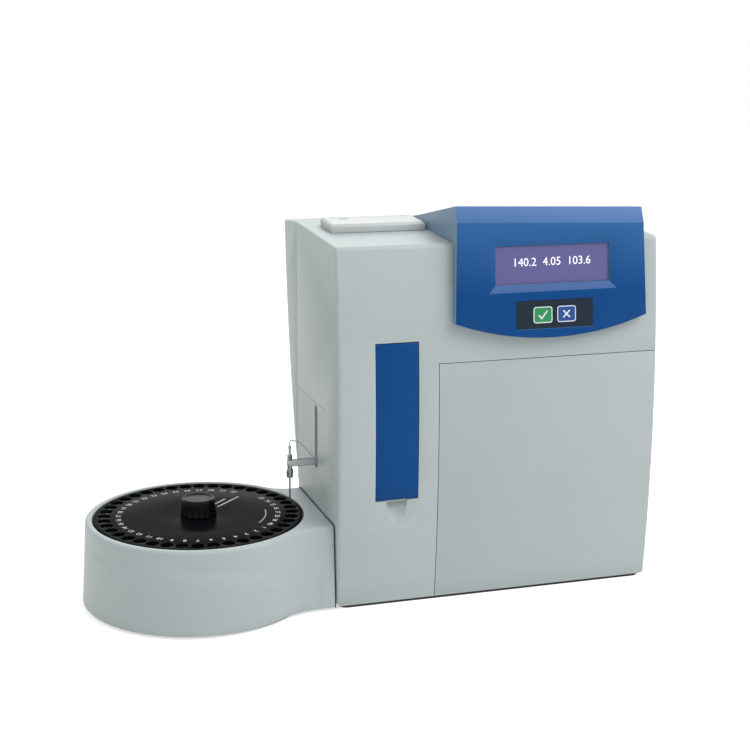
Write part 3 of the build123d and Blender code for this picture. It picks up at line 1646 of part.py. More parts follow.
def needle_nut():
    """The knurled nut under the arm that clamps the needle."""
    low = arm_bottom - nut_neck - nut_height
    nut = rod_z(low, low + nut_height, needle_x, needle_y, nut_radius)
    nut = chamfer(nut.edges().filter_by(GeomType.CIRCLE), nut_chamfer)
    nut += rod_z(low + nut_height, arm_bottom, needle_x, needle_y, fitting_radius)
    return nut - rod_z(0, body_height, needle_x, needle_y, needle_radius + needle_bore_clearance)


def needle_fitting():
    top = arm_bottom + arm_height
    fitting = rod_z(top, top + fitting_height, needle_x, needle_y, fitting_radius)
    shoulder = needle_top - tip_height
    fitting += rod_z(shoulder, needle_top, needle_x, needle_y, tip_radius)
    fitting += rod_z(top + fitting_height, shoulder, needle_x, needle_y, needle_radius + sleeve_wall)
    return fitting - rod_z(0, body_height, needle_x, needle_y, needle_radius + needle_bore_clearance)


def capillary():
    """The thin sample tube that loops from the needle's top down into the slot above the arm."""
    arm_top = arm_bottom + arm_height + capillary_radius + capillary_gap
    points = [
        (needle_x, needle_top), (needle_x, needle_top + 6), (needle_x + 11, needle_top + 3.2),
        (needle_x + 21, needle_top - 9.6), (needle_x + 26, arm_top), (carriage_left, arm_top),
    ]
    radii = [2.0, 15.0, 20.0, 7.0]
    path = FilletPolyline(*[(x, needle_y, z) for x, z in points], radius=radii)
    section = Plane(origin=(needle_x, needle_y, needle_top), z_dir=(0, 0, 1)) * Circle(capillary_radius)
    return sweep(section, path)


def lift_carriage():
    """The block that slides on the two guide rods."""
    top = carriage_bottom + carriage_height
    form = block(carriage_left, carriage_right, needle_y - carriage_half_width, needle_y + carriage_half_width,
                 carriage_bottom, top)
    form = chamfer(form.edges().filter_by(Axis.X), carriage_chamfer)
    for side in (-1, 1):
        form -= rod_z(0, body_height, guide_rod_x, needle_y + side * guide_rod_spacing / 2,
                      guide_rod_radius + running_clearance)
    return form


def guide_rods():
    rods = Part()
    for side in (-1, 1):
        rods += rod_z(guide_bottom - guide_flange, guide_top + guide_flange, guide_rod_x,
                      needle_y + side * guide_rod_spacing / 2, guide_rod_radius)
    return rods


def lift_frame():
    """A folded steel frame standing on the floor, with two flanges that hold the guide rods."""
    right = lift_plate_x + lift_plate_thickness
    frame = block(lift_plate_x, right, lift_plate_front, lift_plate_rear, plate_top, guide_top + guide_flange)
    frame += block(lift_plate_x - lift_foot, right, lift_plate_front, lift_plate_rear, plate_top,
                   plate_top + guide_flange)
    half = guide_flange_half
    left = guide_rod_x - guide_rod_radius - rod_seat
    frame += block(left, right, needle_y - half, needle_y + half, guide_bottom - guide_flange, guide_bottom)
    frame += block(left, right, needle_y - half, needle_y + half, guide_top, guide_top + guide_flange)
    frame -= rod_x(0, body_width, pinion_axis_y, lift_pinion_height, motor_shaft_radius + 2)
    return frame - guide_rods()


def lift_rack():
    """The rack on the carriage's side, with straight-flanked teeth."""
    face_y = needle_y + carriage_half_width
    pitch_y = face_y + rack_depth
    pitch = pi * gear_module
    slope = tan(radians(pressure_angle))
    count = int((rack_top - rack_bottom) / pitch / 2)
    points = [(face_y, lift_pinion_height - count * pitch - pitch / 2)]
    for index in range(-count, 2 * count + 1):
        z = lift_pinion_height + index * pitch
        if z + pitch / 2 > rack_top:
            break
        half = pitch / 4 - gear_backlash / 4
        for y, grow in ((pitch_y - 1.25 * gear_module, 1.25 * gear_module), (pitch_y + gear_module, -gear_module)):
            points.append((y, z - half - grow * slope))
        for y, grow in ((pitch_y + gear_module, -gear_module), (pitch_y - 1.25 * gear_module, 1.25 * gear_module)):
            points.append((y, z + half + grow * slope))
    points.append((face_y, points[-1][1]))
    points[0] = (face_y, points[1][1])
    form = extrude(Plane.YZ * make_face(Polyline(*points, close=True)), rack_width)
    return Pos(carriage_left + rack_inset, 0, 0) * form


def lift_pinion():
    place = Plane(origin=(carriage_left + rack_inset, pinion_axis_y, lift_pinion_height),
                  x_dir=(0, -1, 0), z_dir=(1, 0, 0))
    pinion = place * Rot(0, 0, 180 / lift_pinion_teeth) * gear(lift_pinion_teeth, rack_width)
    return pinion - rod_x(0, body_width, pinion_axis_y, lift_pinion_height, motor_shaft_radius)


def lift_shaft():
    return rod_x(carriage_left + rack_inset, lift_plate_x + lift_plate_thickness + lift_shaft_reach, pinion_axis_y,
                 lift_pinion_height, motor_shaft_radius)


def lift_motor():
    start = lift_plate_x + lift_plate_thickness
    half = lift_motor_side / 2
    motor = block(start, start + lift_motor_length, pinion_axis_y - half, pinion_axis_y + half,
                  lift_pinion_height - half, lift_pinion_height + half)
    motor = chamfer(motor.edges().filter_by(Axis.X), lift_motor_chamfer)
    return motor - rod_x(start - cut_over, start + lift_shaft_reach + cut_over, pinion_axis_y, lift_pinion_height,
                         motor_shaft_radius + running_clearance)


# Every piece by name
keep("main_housing", main_housing())
keep("side_access_panel", side_access_panel())
keep("rear_cover", rear_cover())
keep("rear_panel", rear_panel())
keep("base_plate", base_plate())
keep("rubber_feet", feet(main_foot_places + sampler_foot_places))
keep("base_screws", screws_up(boss_places + sampler_boss_places, plate_rise))
keep("joining_bracket", bracket_form(0.0))
keep("hinge_pins", hinge_pins() + flap_pins() + sloped(lid_pin()))
keep("service_door", service_door())
keep("door_catch", door_catch())
keep("bay_liner", bay_liner())
keep("reagent_pack", reagent_pack())
keep("electrodes", electrodes())
keep("electrode_clamp", electrode_clamp())
keep("sample_valve", sample_valve())
keep("pump_head", pump_head())
keep("pump_rotor", pump_rotor())
keep("pump_tube", pump_tube())
keep("pump_motor", pump_motor())
keep("sample_flap", sample_flap())
keep("sample_recess", sample_recess())
keep("manual_probe", manual_probe())
keep("console_hood", console_hood())
keep("display_window", display_window())
keep("console_electronics", display_module() + keypad_board())
keep("keypad_panel", keypad_panel())
keep("left_key", key_cap(0))
keep("right_key", key_cap(1))
keep("printer_lid", sloped(printer_lid() + lid_tab()))
keep("printer_tub", sloped(printer_tub()))
keep("paper_roll", sloped(paper_roll()))
keep("roll_spindle", sloped(roll_spindle()))
keep("platen_roller", sloped(platen_roller() + platen_shaft()))
keep("print_head", sloped(print_head()))
keep("main_board", main_board())
keep("power_supply", power_supply())
keep("mains_inlet", mains_inlet())
keep("fuse_drawer", fuse_drawer())
keep("power_rocker", power_rocker())
keep("serial_port", serial_port())
keep("sampler_housing", sampler_housing())
keep("sampler_base", sampler_base())
keep("turntable_disc", turntable_disc())
keep("tube_support_plate", tube_support_plate() + spacer_posts())
keep("turntable_knob", turntable_knob())
keep("turntable_spindle", turntable_spindle())
keep("turntable_gear", turntable_gear())
keep("turntable_pinion", turntable_pinion() + pinion_shaft())
keep("turntable_motor", turntable_motor())
keep("spindle_bearings", spindle_bearing() + spindle_bush())
keep("needle_arm", needle_arm())
keep("needle", needle())
keep("needle_fittings", needle_nut() + needle_fitting())
keep("capillary", capillary())
keep("lift_carriage", lift_carriage() + lift_rack())
keep("guide_rods", guide_rods())
keep("lift_frame", lift_frame())
keep("lift_pinion", lift_pinion() + lift_shaft())
keep("lift_motor", lift_motor())

# The whole analyzer moved so that the origin is the middle of its extent, on the table
boxes = [shape.bounding_box() for shape in nodes.values()]
middle_x = (min(box.min.X for box in boxes) + max(box.max.X for box in boxes)) / 2
middle_y = (min(box.min.Y for box in boxes) + max(box.max.Y for box in boxes)) / 2
os.makedirs("parts", exist_ok=True)
for name, shape in nodes.items():
    export_step(Pos(-middle_x, -middle_y, foot_height) * shape, f"parts/{name}.step")
print(len(nodes), "pieces, moved by", round(-middle_x, 3), round(-middle_y, 3), foot_height)
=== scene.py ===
# %% [markdown]
# # A bench electrolyte analyzer
# The real object is a small laboratory instrument: a moulded tower with a leaning display, and a round
# sample turntable joined to its left side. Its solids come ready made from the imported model, at their real
# size. This lesson gives them their finishes and adds the small things that only a close look shows.

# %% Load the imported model
import json
import math

import bmesh
import bpy
from mathutils import Matrix, Vector
from mathutils.geometry import convex_hull_2d


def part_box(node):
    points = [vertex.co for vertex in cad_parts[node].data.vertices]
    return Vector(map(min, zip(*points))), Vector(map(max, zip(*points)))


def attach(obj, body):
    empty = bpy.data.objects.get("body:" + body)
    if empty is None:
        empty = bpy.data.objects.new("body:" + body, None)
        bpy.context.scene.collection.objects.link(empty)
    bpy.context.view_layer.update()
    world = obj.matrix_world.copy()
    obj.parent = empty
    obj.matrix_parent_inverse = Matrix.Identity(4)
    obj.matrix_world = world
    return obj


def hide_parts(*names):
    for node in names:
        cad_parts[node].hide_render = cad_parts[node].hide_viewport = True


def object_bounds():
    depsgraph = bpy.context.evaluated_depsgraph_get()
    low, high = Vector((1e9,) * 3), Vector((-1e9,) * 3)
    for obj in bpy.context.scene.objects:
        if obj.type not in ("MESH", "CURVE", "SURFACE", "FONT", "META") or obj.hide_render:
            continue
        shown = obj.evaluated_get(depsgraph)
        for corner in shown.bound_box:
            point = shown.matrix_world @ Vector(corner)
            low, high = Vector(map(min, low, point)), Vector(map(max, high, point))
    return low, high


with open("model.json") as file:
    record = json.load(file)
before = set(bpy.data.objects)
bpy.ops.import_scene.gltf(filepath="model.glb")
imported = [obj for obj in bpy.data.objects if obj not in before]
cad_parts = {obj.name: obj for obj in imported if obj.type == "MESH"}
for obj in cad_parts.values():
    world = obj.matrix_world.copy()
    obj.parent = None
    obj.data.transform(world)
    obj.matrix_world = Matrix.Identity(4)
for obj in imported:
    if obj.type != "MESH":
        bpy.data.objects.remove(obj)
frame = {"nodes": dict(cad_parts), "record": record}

cad_low, cad_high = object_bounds()
print("packed size in metres:", [round(high - low, 4) for low, high in zip(cad_low, cad_high)])

# %% [markdown]
# ## Where things are
# The drawings of such a machine measure from one corner of its housing, in millimetres. Working in the same
# way keeps every number readable. `at` turns such a measure into a place in the scene, which is in metres.

# %% Measures in millimetres
MM = 0.001
housing_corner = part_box("main_housing")[0]


def at(x, y, z):
    """A place measured in millimetres from the housing's lower front left corner."""
    return housing_corner + Vector((x, y, z)) * MM


print("housing corner:", [round(value, 4) for value in housing_corner])

# %% [markdown]
# ## Colours
# A paint shop gives a colour as it looks on a screen, but light adds up in linear values. One small
# function does the change, so that every colour below can be read as the eye sees it.

# %% Screen colours to linear ones


def seen(red, green, blue):
    """A colour as a screen shows it, each part from 0 to 1, as the linear colour that a shader takes."""
    def linear(value):
        return value / 12.92 if value <= 0.04045 else ((value + 0.055) / 1.055) ** 2.4
    return (linear(red), linear(green), linear(blue), 1.0)


# %% [markdown]
# ## One recipe for moulded and machined surfaces
# A moulded case is never one flat colour: the tool's spark-eroded grain scatters light, and the shade
# drifts a little across a large face. Three noises do this: a slow one for the shade, a middle one for the
# gloss and a fine one for the grain. They could be painted by hand, but a rule in real sizes fits every
# piece at once.

# %% The recipe


def noise(tree, size, detail, stretch=(1.0, 1.0, 1.0)):
    """A noise whose patches are about one size, in millimetres, in the machine's own directions."""
    place = tree.nodes.new("ShaderNodeTexCoord")
    scaling = tree.nodes.new("ShaderNodeMapping")
    scaling.inputs["Scale"].default_value = stretch
    pattern = tree.nodes.new("ShaderNodeTexNoise")
    pattern.inputs["Scale"].default_value = 1 / (size * MM)
    pattern.inputs["Detail"].default_value = detail
    tree.links.new(place.outputs["Object"], scaling.inputs["Vector"])
    tree.links.new(scaling.outputs["Vector"], pattern.inputs["Vector"])
    return pattern.outputs["Fac"]


def between(tree, share, low, high):
    """A number that goes from low to high as a noise does."""
    span = tree.nodes.new("ShaderNodeMapRange")
    span.inputs["From Min"].default_value = 0.3
    span.inputs["From Max"].default_value = 0.7
    span.inputs["To Min"].default_value = low
    span.inputs["To Max"].default_value = high
    tree.links.new(share, span.inputs["Value"])
    return span.outputs["Result"]


def finish(name, colour, rough, drift=0.03, drift_size=90, grain=0.35, depth=0.02, metal=0.0,
           stretch=(1.0, 1.0, 1.0), coat=0.0, shine=0.5):
    """A material with drifting shade, uneven gloss and a fine grain, sizes and depth in millimetres."""
    material = bpy.data.materials.new(name)
    material.use_nodes = True
    tree = material.node_tree
    shader = tree.nodes["Principled BSDF"]
    shader.inputs["Metallic"].default_value = metal
    shader.inputs["Coat Weight"].default_value = coat
    shader.inputs["Specular IOR Level"].default_value = shine
    shades = tree.nodes.new("ShaderNodeMix")
    shades.data_type = "RGBA"
    shades.inputs["A"].default_value = tuple(part * (1 - drift) for part in colour[:3]) + (1.0,)
    shades.inputs["B"].default_value = tuple(min(1.0, part * (1 + drift)) for part in colour[:3]) + (1.0,)
    tree.links.new(noise(tree, drift_size, 2.0, stretch), shades.inputs["Factor"])
    tree.links.new(shades.outputs["Result"], shader.inputs["Base Color"])
    gloss = between(tree, noise(tree, 9 * grain + 3, 3.0, stretch), rough * 0.92, rough * 1.08)
    tree.links.new(gloss, shader.inputs["Roughness"])
    bump = tree.nodes.new("ShaderNodeBump")
    bump.inputs["Strength"].default_value = 0.6
    bump.inputs["Distance"].default_value = depth * MM
    tree.links.new(noise(tree, grain, 2.0, stretch), bump.inputs["Height"])
    tree.links.new(bump.outputs["Normal"], shader.inputs["Normal"])
    return material


# %% [markdown]
# ## The finishes
# Each finish is one line: the colour, how rough it is, and how coarse its grain is. The case is a pale
# grey-green with a fine matt grain, the hood and flap are a satin blue, the turntable is a dark anodised
# sheet, and the inside parts have plain technical finishes.

# %% Finishes by name
satin_blue = seen(0.035, 0.290, 0.536)
finishes = {
    "grey_housing": finish("case plastic", seen(0.731, 0.771, 0.769), 0.42, drift=0.02, grain=0.5,
                           depth=0.012, shine=0.3),
    "blue_plastic": finish("blue plastic", satin_blue, 0.34, drift=0.04, grain=0.45, depth=0.008,
                           shine=0.12),
    "white_plastic": finish("white plastic", seen(0.785, 0.80, 0.80), 0.38, drift=0.015, grain=0.5,
                            depth=0.008),
    "black_plastic": finish("black plastic", seen(0.055, 0.057, 0.062), 0.32, drift=0.10, grain=0.5,
                            depth=0.012),
    "dark_overlay": finish("overlay film", seen(0.10, 0.16, 0.215), 0.34, drift=0.05, grain=0.25,
                           depth=0.004, shine=0.2),
    "green_key": finish("green key", seen(0.12, 0.56, 0.33), 0.34, drift=0.04, grain=0.3, depth=0.005),
    "blue_key": finish("blue key", seen(0.07, 0.27, 0.57), 0.34, drift=0.04, grain=0.3, depth=0.005),
    "circuit_board": finish("circuit board", seen(0.08, 0.30, 0.17), 0.40, drift=0.15, drift_size=6,
                            grain=0.8),
    "plated_steel": finish("plated steel", seen(0.66, 0.67, 0.69), 0.36, drift=0.06, drift_size=14,
                           metal=1.0),
    "stainless_steel": finish("ground steel", seen(0.62, 0.62, 0.62), 0.30, drift=0.05, drift_size=5,
                              grain=0.2, depth=0.006, metal=1.0, stretch=(1.0, 1.0, 8.0)),
    "cast_alloy": finish("bead-blasted alloy", seen(0.74, 0.76, 0.77), 0.42, drift=0.04, grain=0.3,
                         metal=0.6),
    "gear_plastic": finish("natural acetal", seen(0.86, 0.85, 0.80), 0.42, drift=0.02, grain=0.4,
                           depth=0.006),
    "silicone_tube": finish("silicone", seen(0.84, 0.86, 0.84), 0.50, drift=0.03, drift_size=8,
                            grain=0.4),
    "clear_tube": finish("fluoropolymer", seen(0.80, 0.83, 0.84), 0.28, drift=0.03, drift_size=8,
                         grain=0.3),
    "black_rubber": finish("rubber", seen(0.06, 0.06, 0.06), 0.70, drift=0.12, drift_size=6, grain=0.6,
                           depth=0.03),
    "receipt_paper": finish("thermal paper", seen(0.93, 0.93, 0.91), 0.62, drift=0.02, drift_size=5,
                            grain=0.3),
}
print(len(finishes), "finishes")

# %% [markdown]
# ## Clear acrylic
# The display window and the sensor blocks are clear. Real refraction would leave the lit panel behind the
# window dark, because no light is traced through it. Letting part of the surface be see-through is simpler.

# %% Acrylic
acrylic = bpy.data.materials.new("clear acrylic")
acrylic.use_nodes = True
acrylic_shader = acrylic.node_tree.nodes["Principled BSDF"]
acrylic_shader.inputs["Base Color"].default_value = seen(0.72, 0.76, 0.84)
acrylic_shader.inputs["Alpha"].default_value = 0.16
haze = between(acrylic.node_tree, noise(acrylic.node_tree, 12, 2.0), 0.05, 0.12)
acrylic.node_tree.links.new(haze, acrylic_shader.inputs["Roughness"])
finishes["clear_acrylic"] = acrylic

# %% [markdown]
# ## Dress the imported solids
# Every solid already rides on its body and keeps its own shape, so it only needs its finish. A moulding has
# no knife edges, so a narrow bevel goes on as a modifier, which leaves the solid's own mesh alone. Joining
# the doubled corners first lets the shading run smoothly over round faces.

# %% Finishes, bevels and smooth shading
slots = {entry["node"]: entry["material_slot"] for entry in frame["record"]["subparts"]}
edge_radii = {"main_housing": 0.5, "service_door": 0.7, "console_hood": 0.9, "sample_flap": 0.4,
              "printer_lid": 0.6, "sampler_housing": 0.4, "rear_cover": 0.5, "needle_arm": 0.5,
              "turntable_disc": 0.3}


def soften(node, radius):
    """Rounds a solid's sharp edges by a small radius in millimetres, and shades the rest smoothly."""
    for face in node.data.polygons:
        face.use_smooth = True
    joined = node.modifiers.new("joined corners", "WELD")
    joined.merge_threshold = 0.01 * MM
    if radius:
        bevel = node.modifiers.new("edge radius", "BEVEL")
        bevel.width = radius * MM
        bevel.segments = 2
        bevel.limit_method = "ANGLE"
        bevel.angle_limit = math.radians(38)
        bevel.harden_normals = False
        bevel.use_clamp_overlap = True
    creases = node.modifiers.new("creases", "EDGE_SPLIT")
    creases.split_angle = math.radians(32)
    creases.use_edge_sharp = False


for name, node in frame["nodes"].items():
    node.data.materials.clear()
    node.data.materials.append(finishes[slots[name]])
    soften(node, edge_radii.get(name, 0))
print(len(frame["nodes"]), "solids dressed")

# %% [markdown]
# ## Tools for added pieces
# Small raised details are thin solids: an outline in a plane, given a thickness. A plane is described by
# its origin and by its right, up and out directions, so the same function serves the leaning console and
# the flat disc.

# %% Thin raised shapes


def piece(name, mesh, body, slot, material=None):
    """Puts a finished mesh in the scene as a piece that rides on a body and takes a slot's finish."""
    thing = bpy.data.objects.new(name, mesh)
    bpy.context.scene.collection.objects.link(thing)
    thing.data.materials.clear()
    thing.data.materials.append(material or finishes[slot])
    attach(thing, body)
    return thing


class Sheet:
    """A flat place on the machine: outlines are drawn on it in millimetres and raised from it."""

    def __init__(self, origin, right, out):
        self.origin = Vector(origin)
        self.right, self.out = Vector(right).normalized(), Vector(out).normalized()
        self.up = self.out.cross(self.right)
        self.form = bmesh.new()

    def point(self, across, along, height):
        place = self.origin + self.right * across + self.up * along + self.out * height
        return at(*place)

    def raise_outline(self, outline, low, high):
        """Adds a solid whose plan is the outline, between two heights over the sheet."""
        count = len(outline)
        bottom = [self.form.verts.new(self.point(u, v, low)) for u, v in outline]
        top = [self.form.verts.new(self.point(u, v, high)) for u, v in outline]
        self.form.faces.new(reversed(bottom))
        self.form.faces.new(top)
        for index in range(count):
            after = (index + 1) % count
            self.form.faces.new((bottom[index], bottom[after], top[after], top[index]))

    def raise_ring(self, outer, inner, low, high):
        """Adds a flat frame between two outlines that have the same number of points."""
        count = len(outer)
        rows = [[self.form.verts.new(self.point(u, v, height)) for u, v in outline]
                for outline, height in ((outer, low), (outer, high), (inner, high), (inner, low))]
        for index in range(count):
            after = (index + 1) % count
            for row in range(4):
                near, far = rows[row], rows[(row + 1) % 4]
                self.form.faces.new((near[index], near[after], far[after], far[index]))

    def mesh(self, name):
        made = bpy.data.meshes.new(name)
        bmesh.ops.recalc_face_normals(self.form, faces=self.form.faces)
        self.form.to_mesh(made)
        self.form.free()
        return made


def rounded(left, right, low, high, radius, steps=5):
    """The outline of a rectangle with round corners, anticlockwise."""
    corners = ((right - radius, low + radius, 270), (right - radius, high - radius, 0),
               (left + radius, high - radius, 90), (left + radius, low + radius, 180))
    outline = []
    for u, v, start in corners:
        for step in range(steps + 1):
            angle = math.radians(start + 90 * step / steps)
            outline.append((u + radius * math.cos(angle), v + radius * math.sin(angle)))
    return outline


def stroke(points, width):
    """The outline of a line of even width through points, with square ends and mitred bends."""
    left, right = [], []
    for index, (u, v) in enumerate(points):
        before = Vector(points[max(index - 1, 0)])
        after = Vector(points[min(index + 1, len(points) - 1)])
        here = Vector((u, v))
        first = (here - before).normalized() if index else (after - here).normalized()
        second = (after - here).normalized() if index < len(points) - 1 else first
        along = (first + second).normalized()
        side = Vector((-along.y, along.x)) * (width / 2 / max(0.4, along.dot(first)))
        left.append(here + side)
        right.append(here - side)
    return [tuple(place) for place in right + left[::-1]]


# %% [markdown]
# ## The lit display
# Behind the window sits a backlit liquid-crystal panel: violet, a little brighter in the middle, with pale
# characters. The panel is a thin sheet that gives off light. Its characters are plain numbers, raised from
# it by a hair, so they stay sharp from close by.

# %% Display panel
console_lean = 0.10
console_front = -4.0
console_corner = 292.8
slope_length = math.sqrt(1 + console_lean ** 2)
window_left, window_right, window_bottom, window_top = 164.8, 290.8, 328.3, 367.0
panel_depth = 4.35


def console_sheet():
    """A fresh sheet on the console's leaning front. Along it, heights are measured up the slope."""
    return Sheet((0, console_front, console_corner), (1, 0, 0), (0, -1, console_lean))


def up_slope(z):
    """How far up the console's slope a height over the housing's lower edge is."""
    return (z - console_corner) * slope_length


def glowing(name, first, second, patch, strength):
    """A material that gives off light, its colour drifting between two in patches of some millimetres."""
    material = bpy.data.materials.new(name)
    material.use_nodes = True
    tree = material.node_tree
    shader = tree.nodes["Principled BSDF"]
    shader.inputs["Emission Strength"].default_value = strength
    shade = tree.nodes.new("ShaderNodeMix")
    shade.data_type = "RGBA"
    shade.inputs["A"].default_value = first
    shade.inputs["B"].default_value = second
    tree.links.new(noise(tree, patch, 1.0), shade.inputs["Factor"])
    tree.links.new(shade.outputs["Result"], shader.inputs["Base Color"])
    tree.links.new(shade.outputs["Result"], shader.inputs["Emission Color"])
    return material


backlight = glowing("violet backlight", seen(0.215, 0.18, 0.455), seen(0.265, 0.19, 0.485), 60, 0.35)
panel_margin, panel_thickness = 0.4, 0.04
panel = console_sheet()
panel.raise_outline(
    rounded(window_left + panel_margin, window_right - panel_margin,
            up_slope(window_bottom) + panel_margin, up_slope(window_top) - panel_margin, 0.6),
    -panel_depth - panel_thickness, -panel_depth,
)
piece("display_panel", panel.mesh("display_panel"), "housing", "clear_acrylic", backlight)
print("panel", round(window_right - window_left - 2 * panel_margin, 1), "mm wide")

# %% [markdown]
# ## Numbers from a font
# Printed characters could be drawn point by point, but a font already holds their shapes. Each text is
# turned into a mesh once and then placed like any other outline, so a whole ring of numbers is one piece.

# %% Text as mesh


def text_mesh(words, height, thickness):
    """The mesh of a short text, centred on its own origin, in millimetres."""
    writing = bpy.data.curves.new("writing", "FONT")
    writing.body = words
    writing.align_x = "CENTER"
    writing.align_y = "CENTER"
    writing.size = height / 0.72
    writing.resolution_u = 3
    writing.extrude = thickness / 2
    holder = bpy.data.objects.new("writing", writing)
    mesh = bpy.data.meshes.new_from_object(holder)
    bpy.data.objects.remove(holder)
    return mesh


def add_text(sheet, words, across, along, turn, height, base, thickness=0.05, bold=0.0):
    """Adds a text to a sheet: its middle's place, its turn in degrees and the height of its digits."""
    mesh = text_mesh(words, height, thickness)
    turned = Matrix.Rotation(math.radians(turn), 2)
    copied = [sheet.form.verts.new(sheet.point(*(turned @ vertex.co.xy + Vector((across, along))),
                                               vertex.co.z + base + thickness / 2))
              for vertex in mesh.vertices]
    for face in mesh.polygons:
        sheet.form.faces.new([copied[index] for index in face.vertices])
    bpy.data.meshes.remove(mesh)


# %% [markdown]
# ## What the display says
# The panel shows a row of readings, as such an instrument does when it has measured a sample. They are
# plain numbers and a clock, with no words.

# %% Display numbers
pale_ink = finish("pale ink", seen(0.93, 0.94, 0.97), 0.5, drift=0.02, grain=0.3, depth=0.002)
lit_ink = glowing("lit characters", seen(0.90, 0.90, 0.97), seen(0.97, 0.96, 1.0), 8, 0.75)
display_middle = (window_left + window_right) / 2
numbers = console_sheet()
readings, row_height, digit_height = "140.2  4.05  103.6", 350.0, 8.6
add_text(numbers, readings, display_middle, up_slope(row_height), 0, digit_height, -panel_depth + 0.05)
piece("display_numbers", numbers.mesh("display_numbers"), "housing", "clear_acrylic", lit_ink)
print("the display shows", readings)

# %% [markdown]
# ## The key legends
# The two keys are printed film with a pale outline. A check mark and a cross say yes and no without words.
# The printing is a thin raised frame and two strokes, and it rides on its key, so it moves when the key
# does.

# %% Key outlines and marks
key_width, key_height, key_left, key_gap, key_bottom = 21.4, 17.2, 204.6, 4.8, 288.0
key_face = 0.62
key_bodies = ("left_key", "right_key")
check_mark = [[(-4.6, -0.2), (-1.4, -3.6), (4.8, 4.0)]]
cross = [[(-3.6, -3.6), (3.6, 3.6)], [(-3.6, 3.6), (3.6, -3.6)]]
key_marks = (check_mark, cross)
for index, body in enumerate(key_bodies):
    left = key_left + index * (key_width + key_gap)
    low = up_slope(key_bottom)
    high = up_slope(key_bottom + key_height)
    print_sheet = console_sheet()
    print_sheet.raise_ring(rounded(left + 0.35, left + key_width - 0.35, low + 0.35, high - 0.35, 2.7),
                           rounded(left + 1.25, left + key_width - 1.25, low + 1.25, high - 1.25, 1.9),
                           key_face, key_face + 0.06)
    for level, mark in enumerate(key_marks[index]):
        line = [(left + key_width / 2 + u, (low + high) / 2 + v) for u, v in mark]
        print_sheet.raise_outline(stroke(line, 1.5), key_face, key_face + 0.06 + 0.01 * level)
    piece(f"{body}_legend", print_sheet.mesh(f"{body}_legend"), body, "white_plastic", pale_ink)
print("two keys printed")

# %% [markdown]
# ## The numbered disc
# Forty places sit in a ring just inside the tube holes. All but the two under the bars are numbered, with
# the digits' tops outwards. Two short bars and a dotted arc stand where a maker would print a note to the
# user.

# %% Disc printing
sampler_x, sampler_y, disc_top = -126.1, 90.0, 85.4
needle_x, needle_y = -28.78, 86.0
place_count, number_ring = 40, 82.2
ring_turn = math.degrees(math.atan2(needle_y - sampler_y, needle_x - sampler_x))
disc = Sheet((sampler_x, sampler_y, disc_top), (1, 0, 0), (0, 0, 1))
first_place, places_under_bars = 324, (31, 32)
ink_low, ink_high = 0.03, 0.08
for number in range(1, place_count + 1):
    angle = first_place + ring_turn - 360 / place_count * number
    u = number_ring * math.cos(math.radians(angle))
    v = number_ring * math.sin(math.radians(angle))
    if number not in places_under_bars:
        add_text(disc, str(number), u, v, angle - 90, 5.4, ink_low)
bar_turn = Matrix.Rotation(math.radians(45), 2)
bar_start, bar_drop, dash_step, dash_length, dash_width = 30, 34, 3.4, 2.4, 2.0
for along, width in ((38.0, 30.0), (30.0, 42.0)):
    for index in range(int(width / dash_step)):
        near = bar_start + index * dash_step
        line = [bar_turn @ Vector((near, along - bar_drop)),
                bar_turn @ Vector((near + dash_length, along - bar_drop))]
        disc.raise_outline(stroke([tuple(end) for end in line], dash_width), ink_low, ink_high)
arc_radius, arc_marks, arc_step, arc_width = 70, 14, 2.6, 1.2
for index in range(arc_marks):
    angle = math.radians(-4 - index * arc_step)
    later = math.radians(-5.4 - index * arc_step)
    line = [(arc_radius * math.cos(turn), arc_radius * math.sin(turn)) for turn in (later, angle)]
    disc.raise_outline(stroke(line, arc_width), ink_low, ink_high)
piece("disc_printing", disc.mesh("disc_printing"), "turntable", "white_plastic", pale_ink)
print(place_count - len(places_under_bars), "numbers printed")

# %% [markdown]
# ## The disc's own finish
# The disc is dark sheet with a satin face, and the knob on it is glossier. A common black would make them
# one, so each gets its own colour and gloss. The disc's mirror-like share is set far below a real
# plastic's, because the white surroundings would otherwise turn it pale.

# %% Disc finish
disc_finish = finish("satin black disc", seen(0.06, 0.062, 0.075), 0.20, drift=0.05, drift_size=60,
                     grain=0.25, depth=0.003, shine=0.007)
frame["nodes"]["turntable_disc"].data.materials[0] = disc_finish
knob_black = finish("gloss black knob", seen(0.035, 0.015, 0.022), 0.25, drift=0.1, grain=0.4, depth=0.006,
                    shine=0.15)
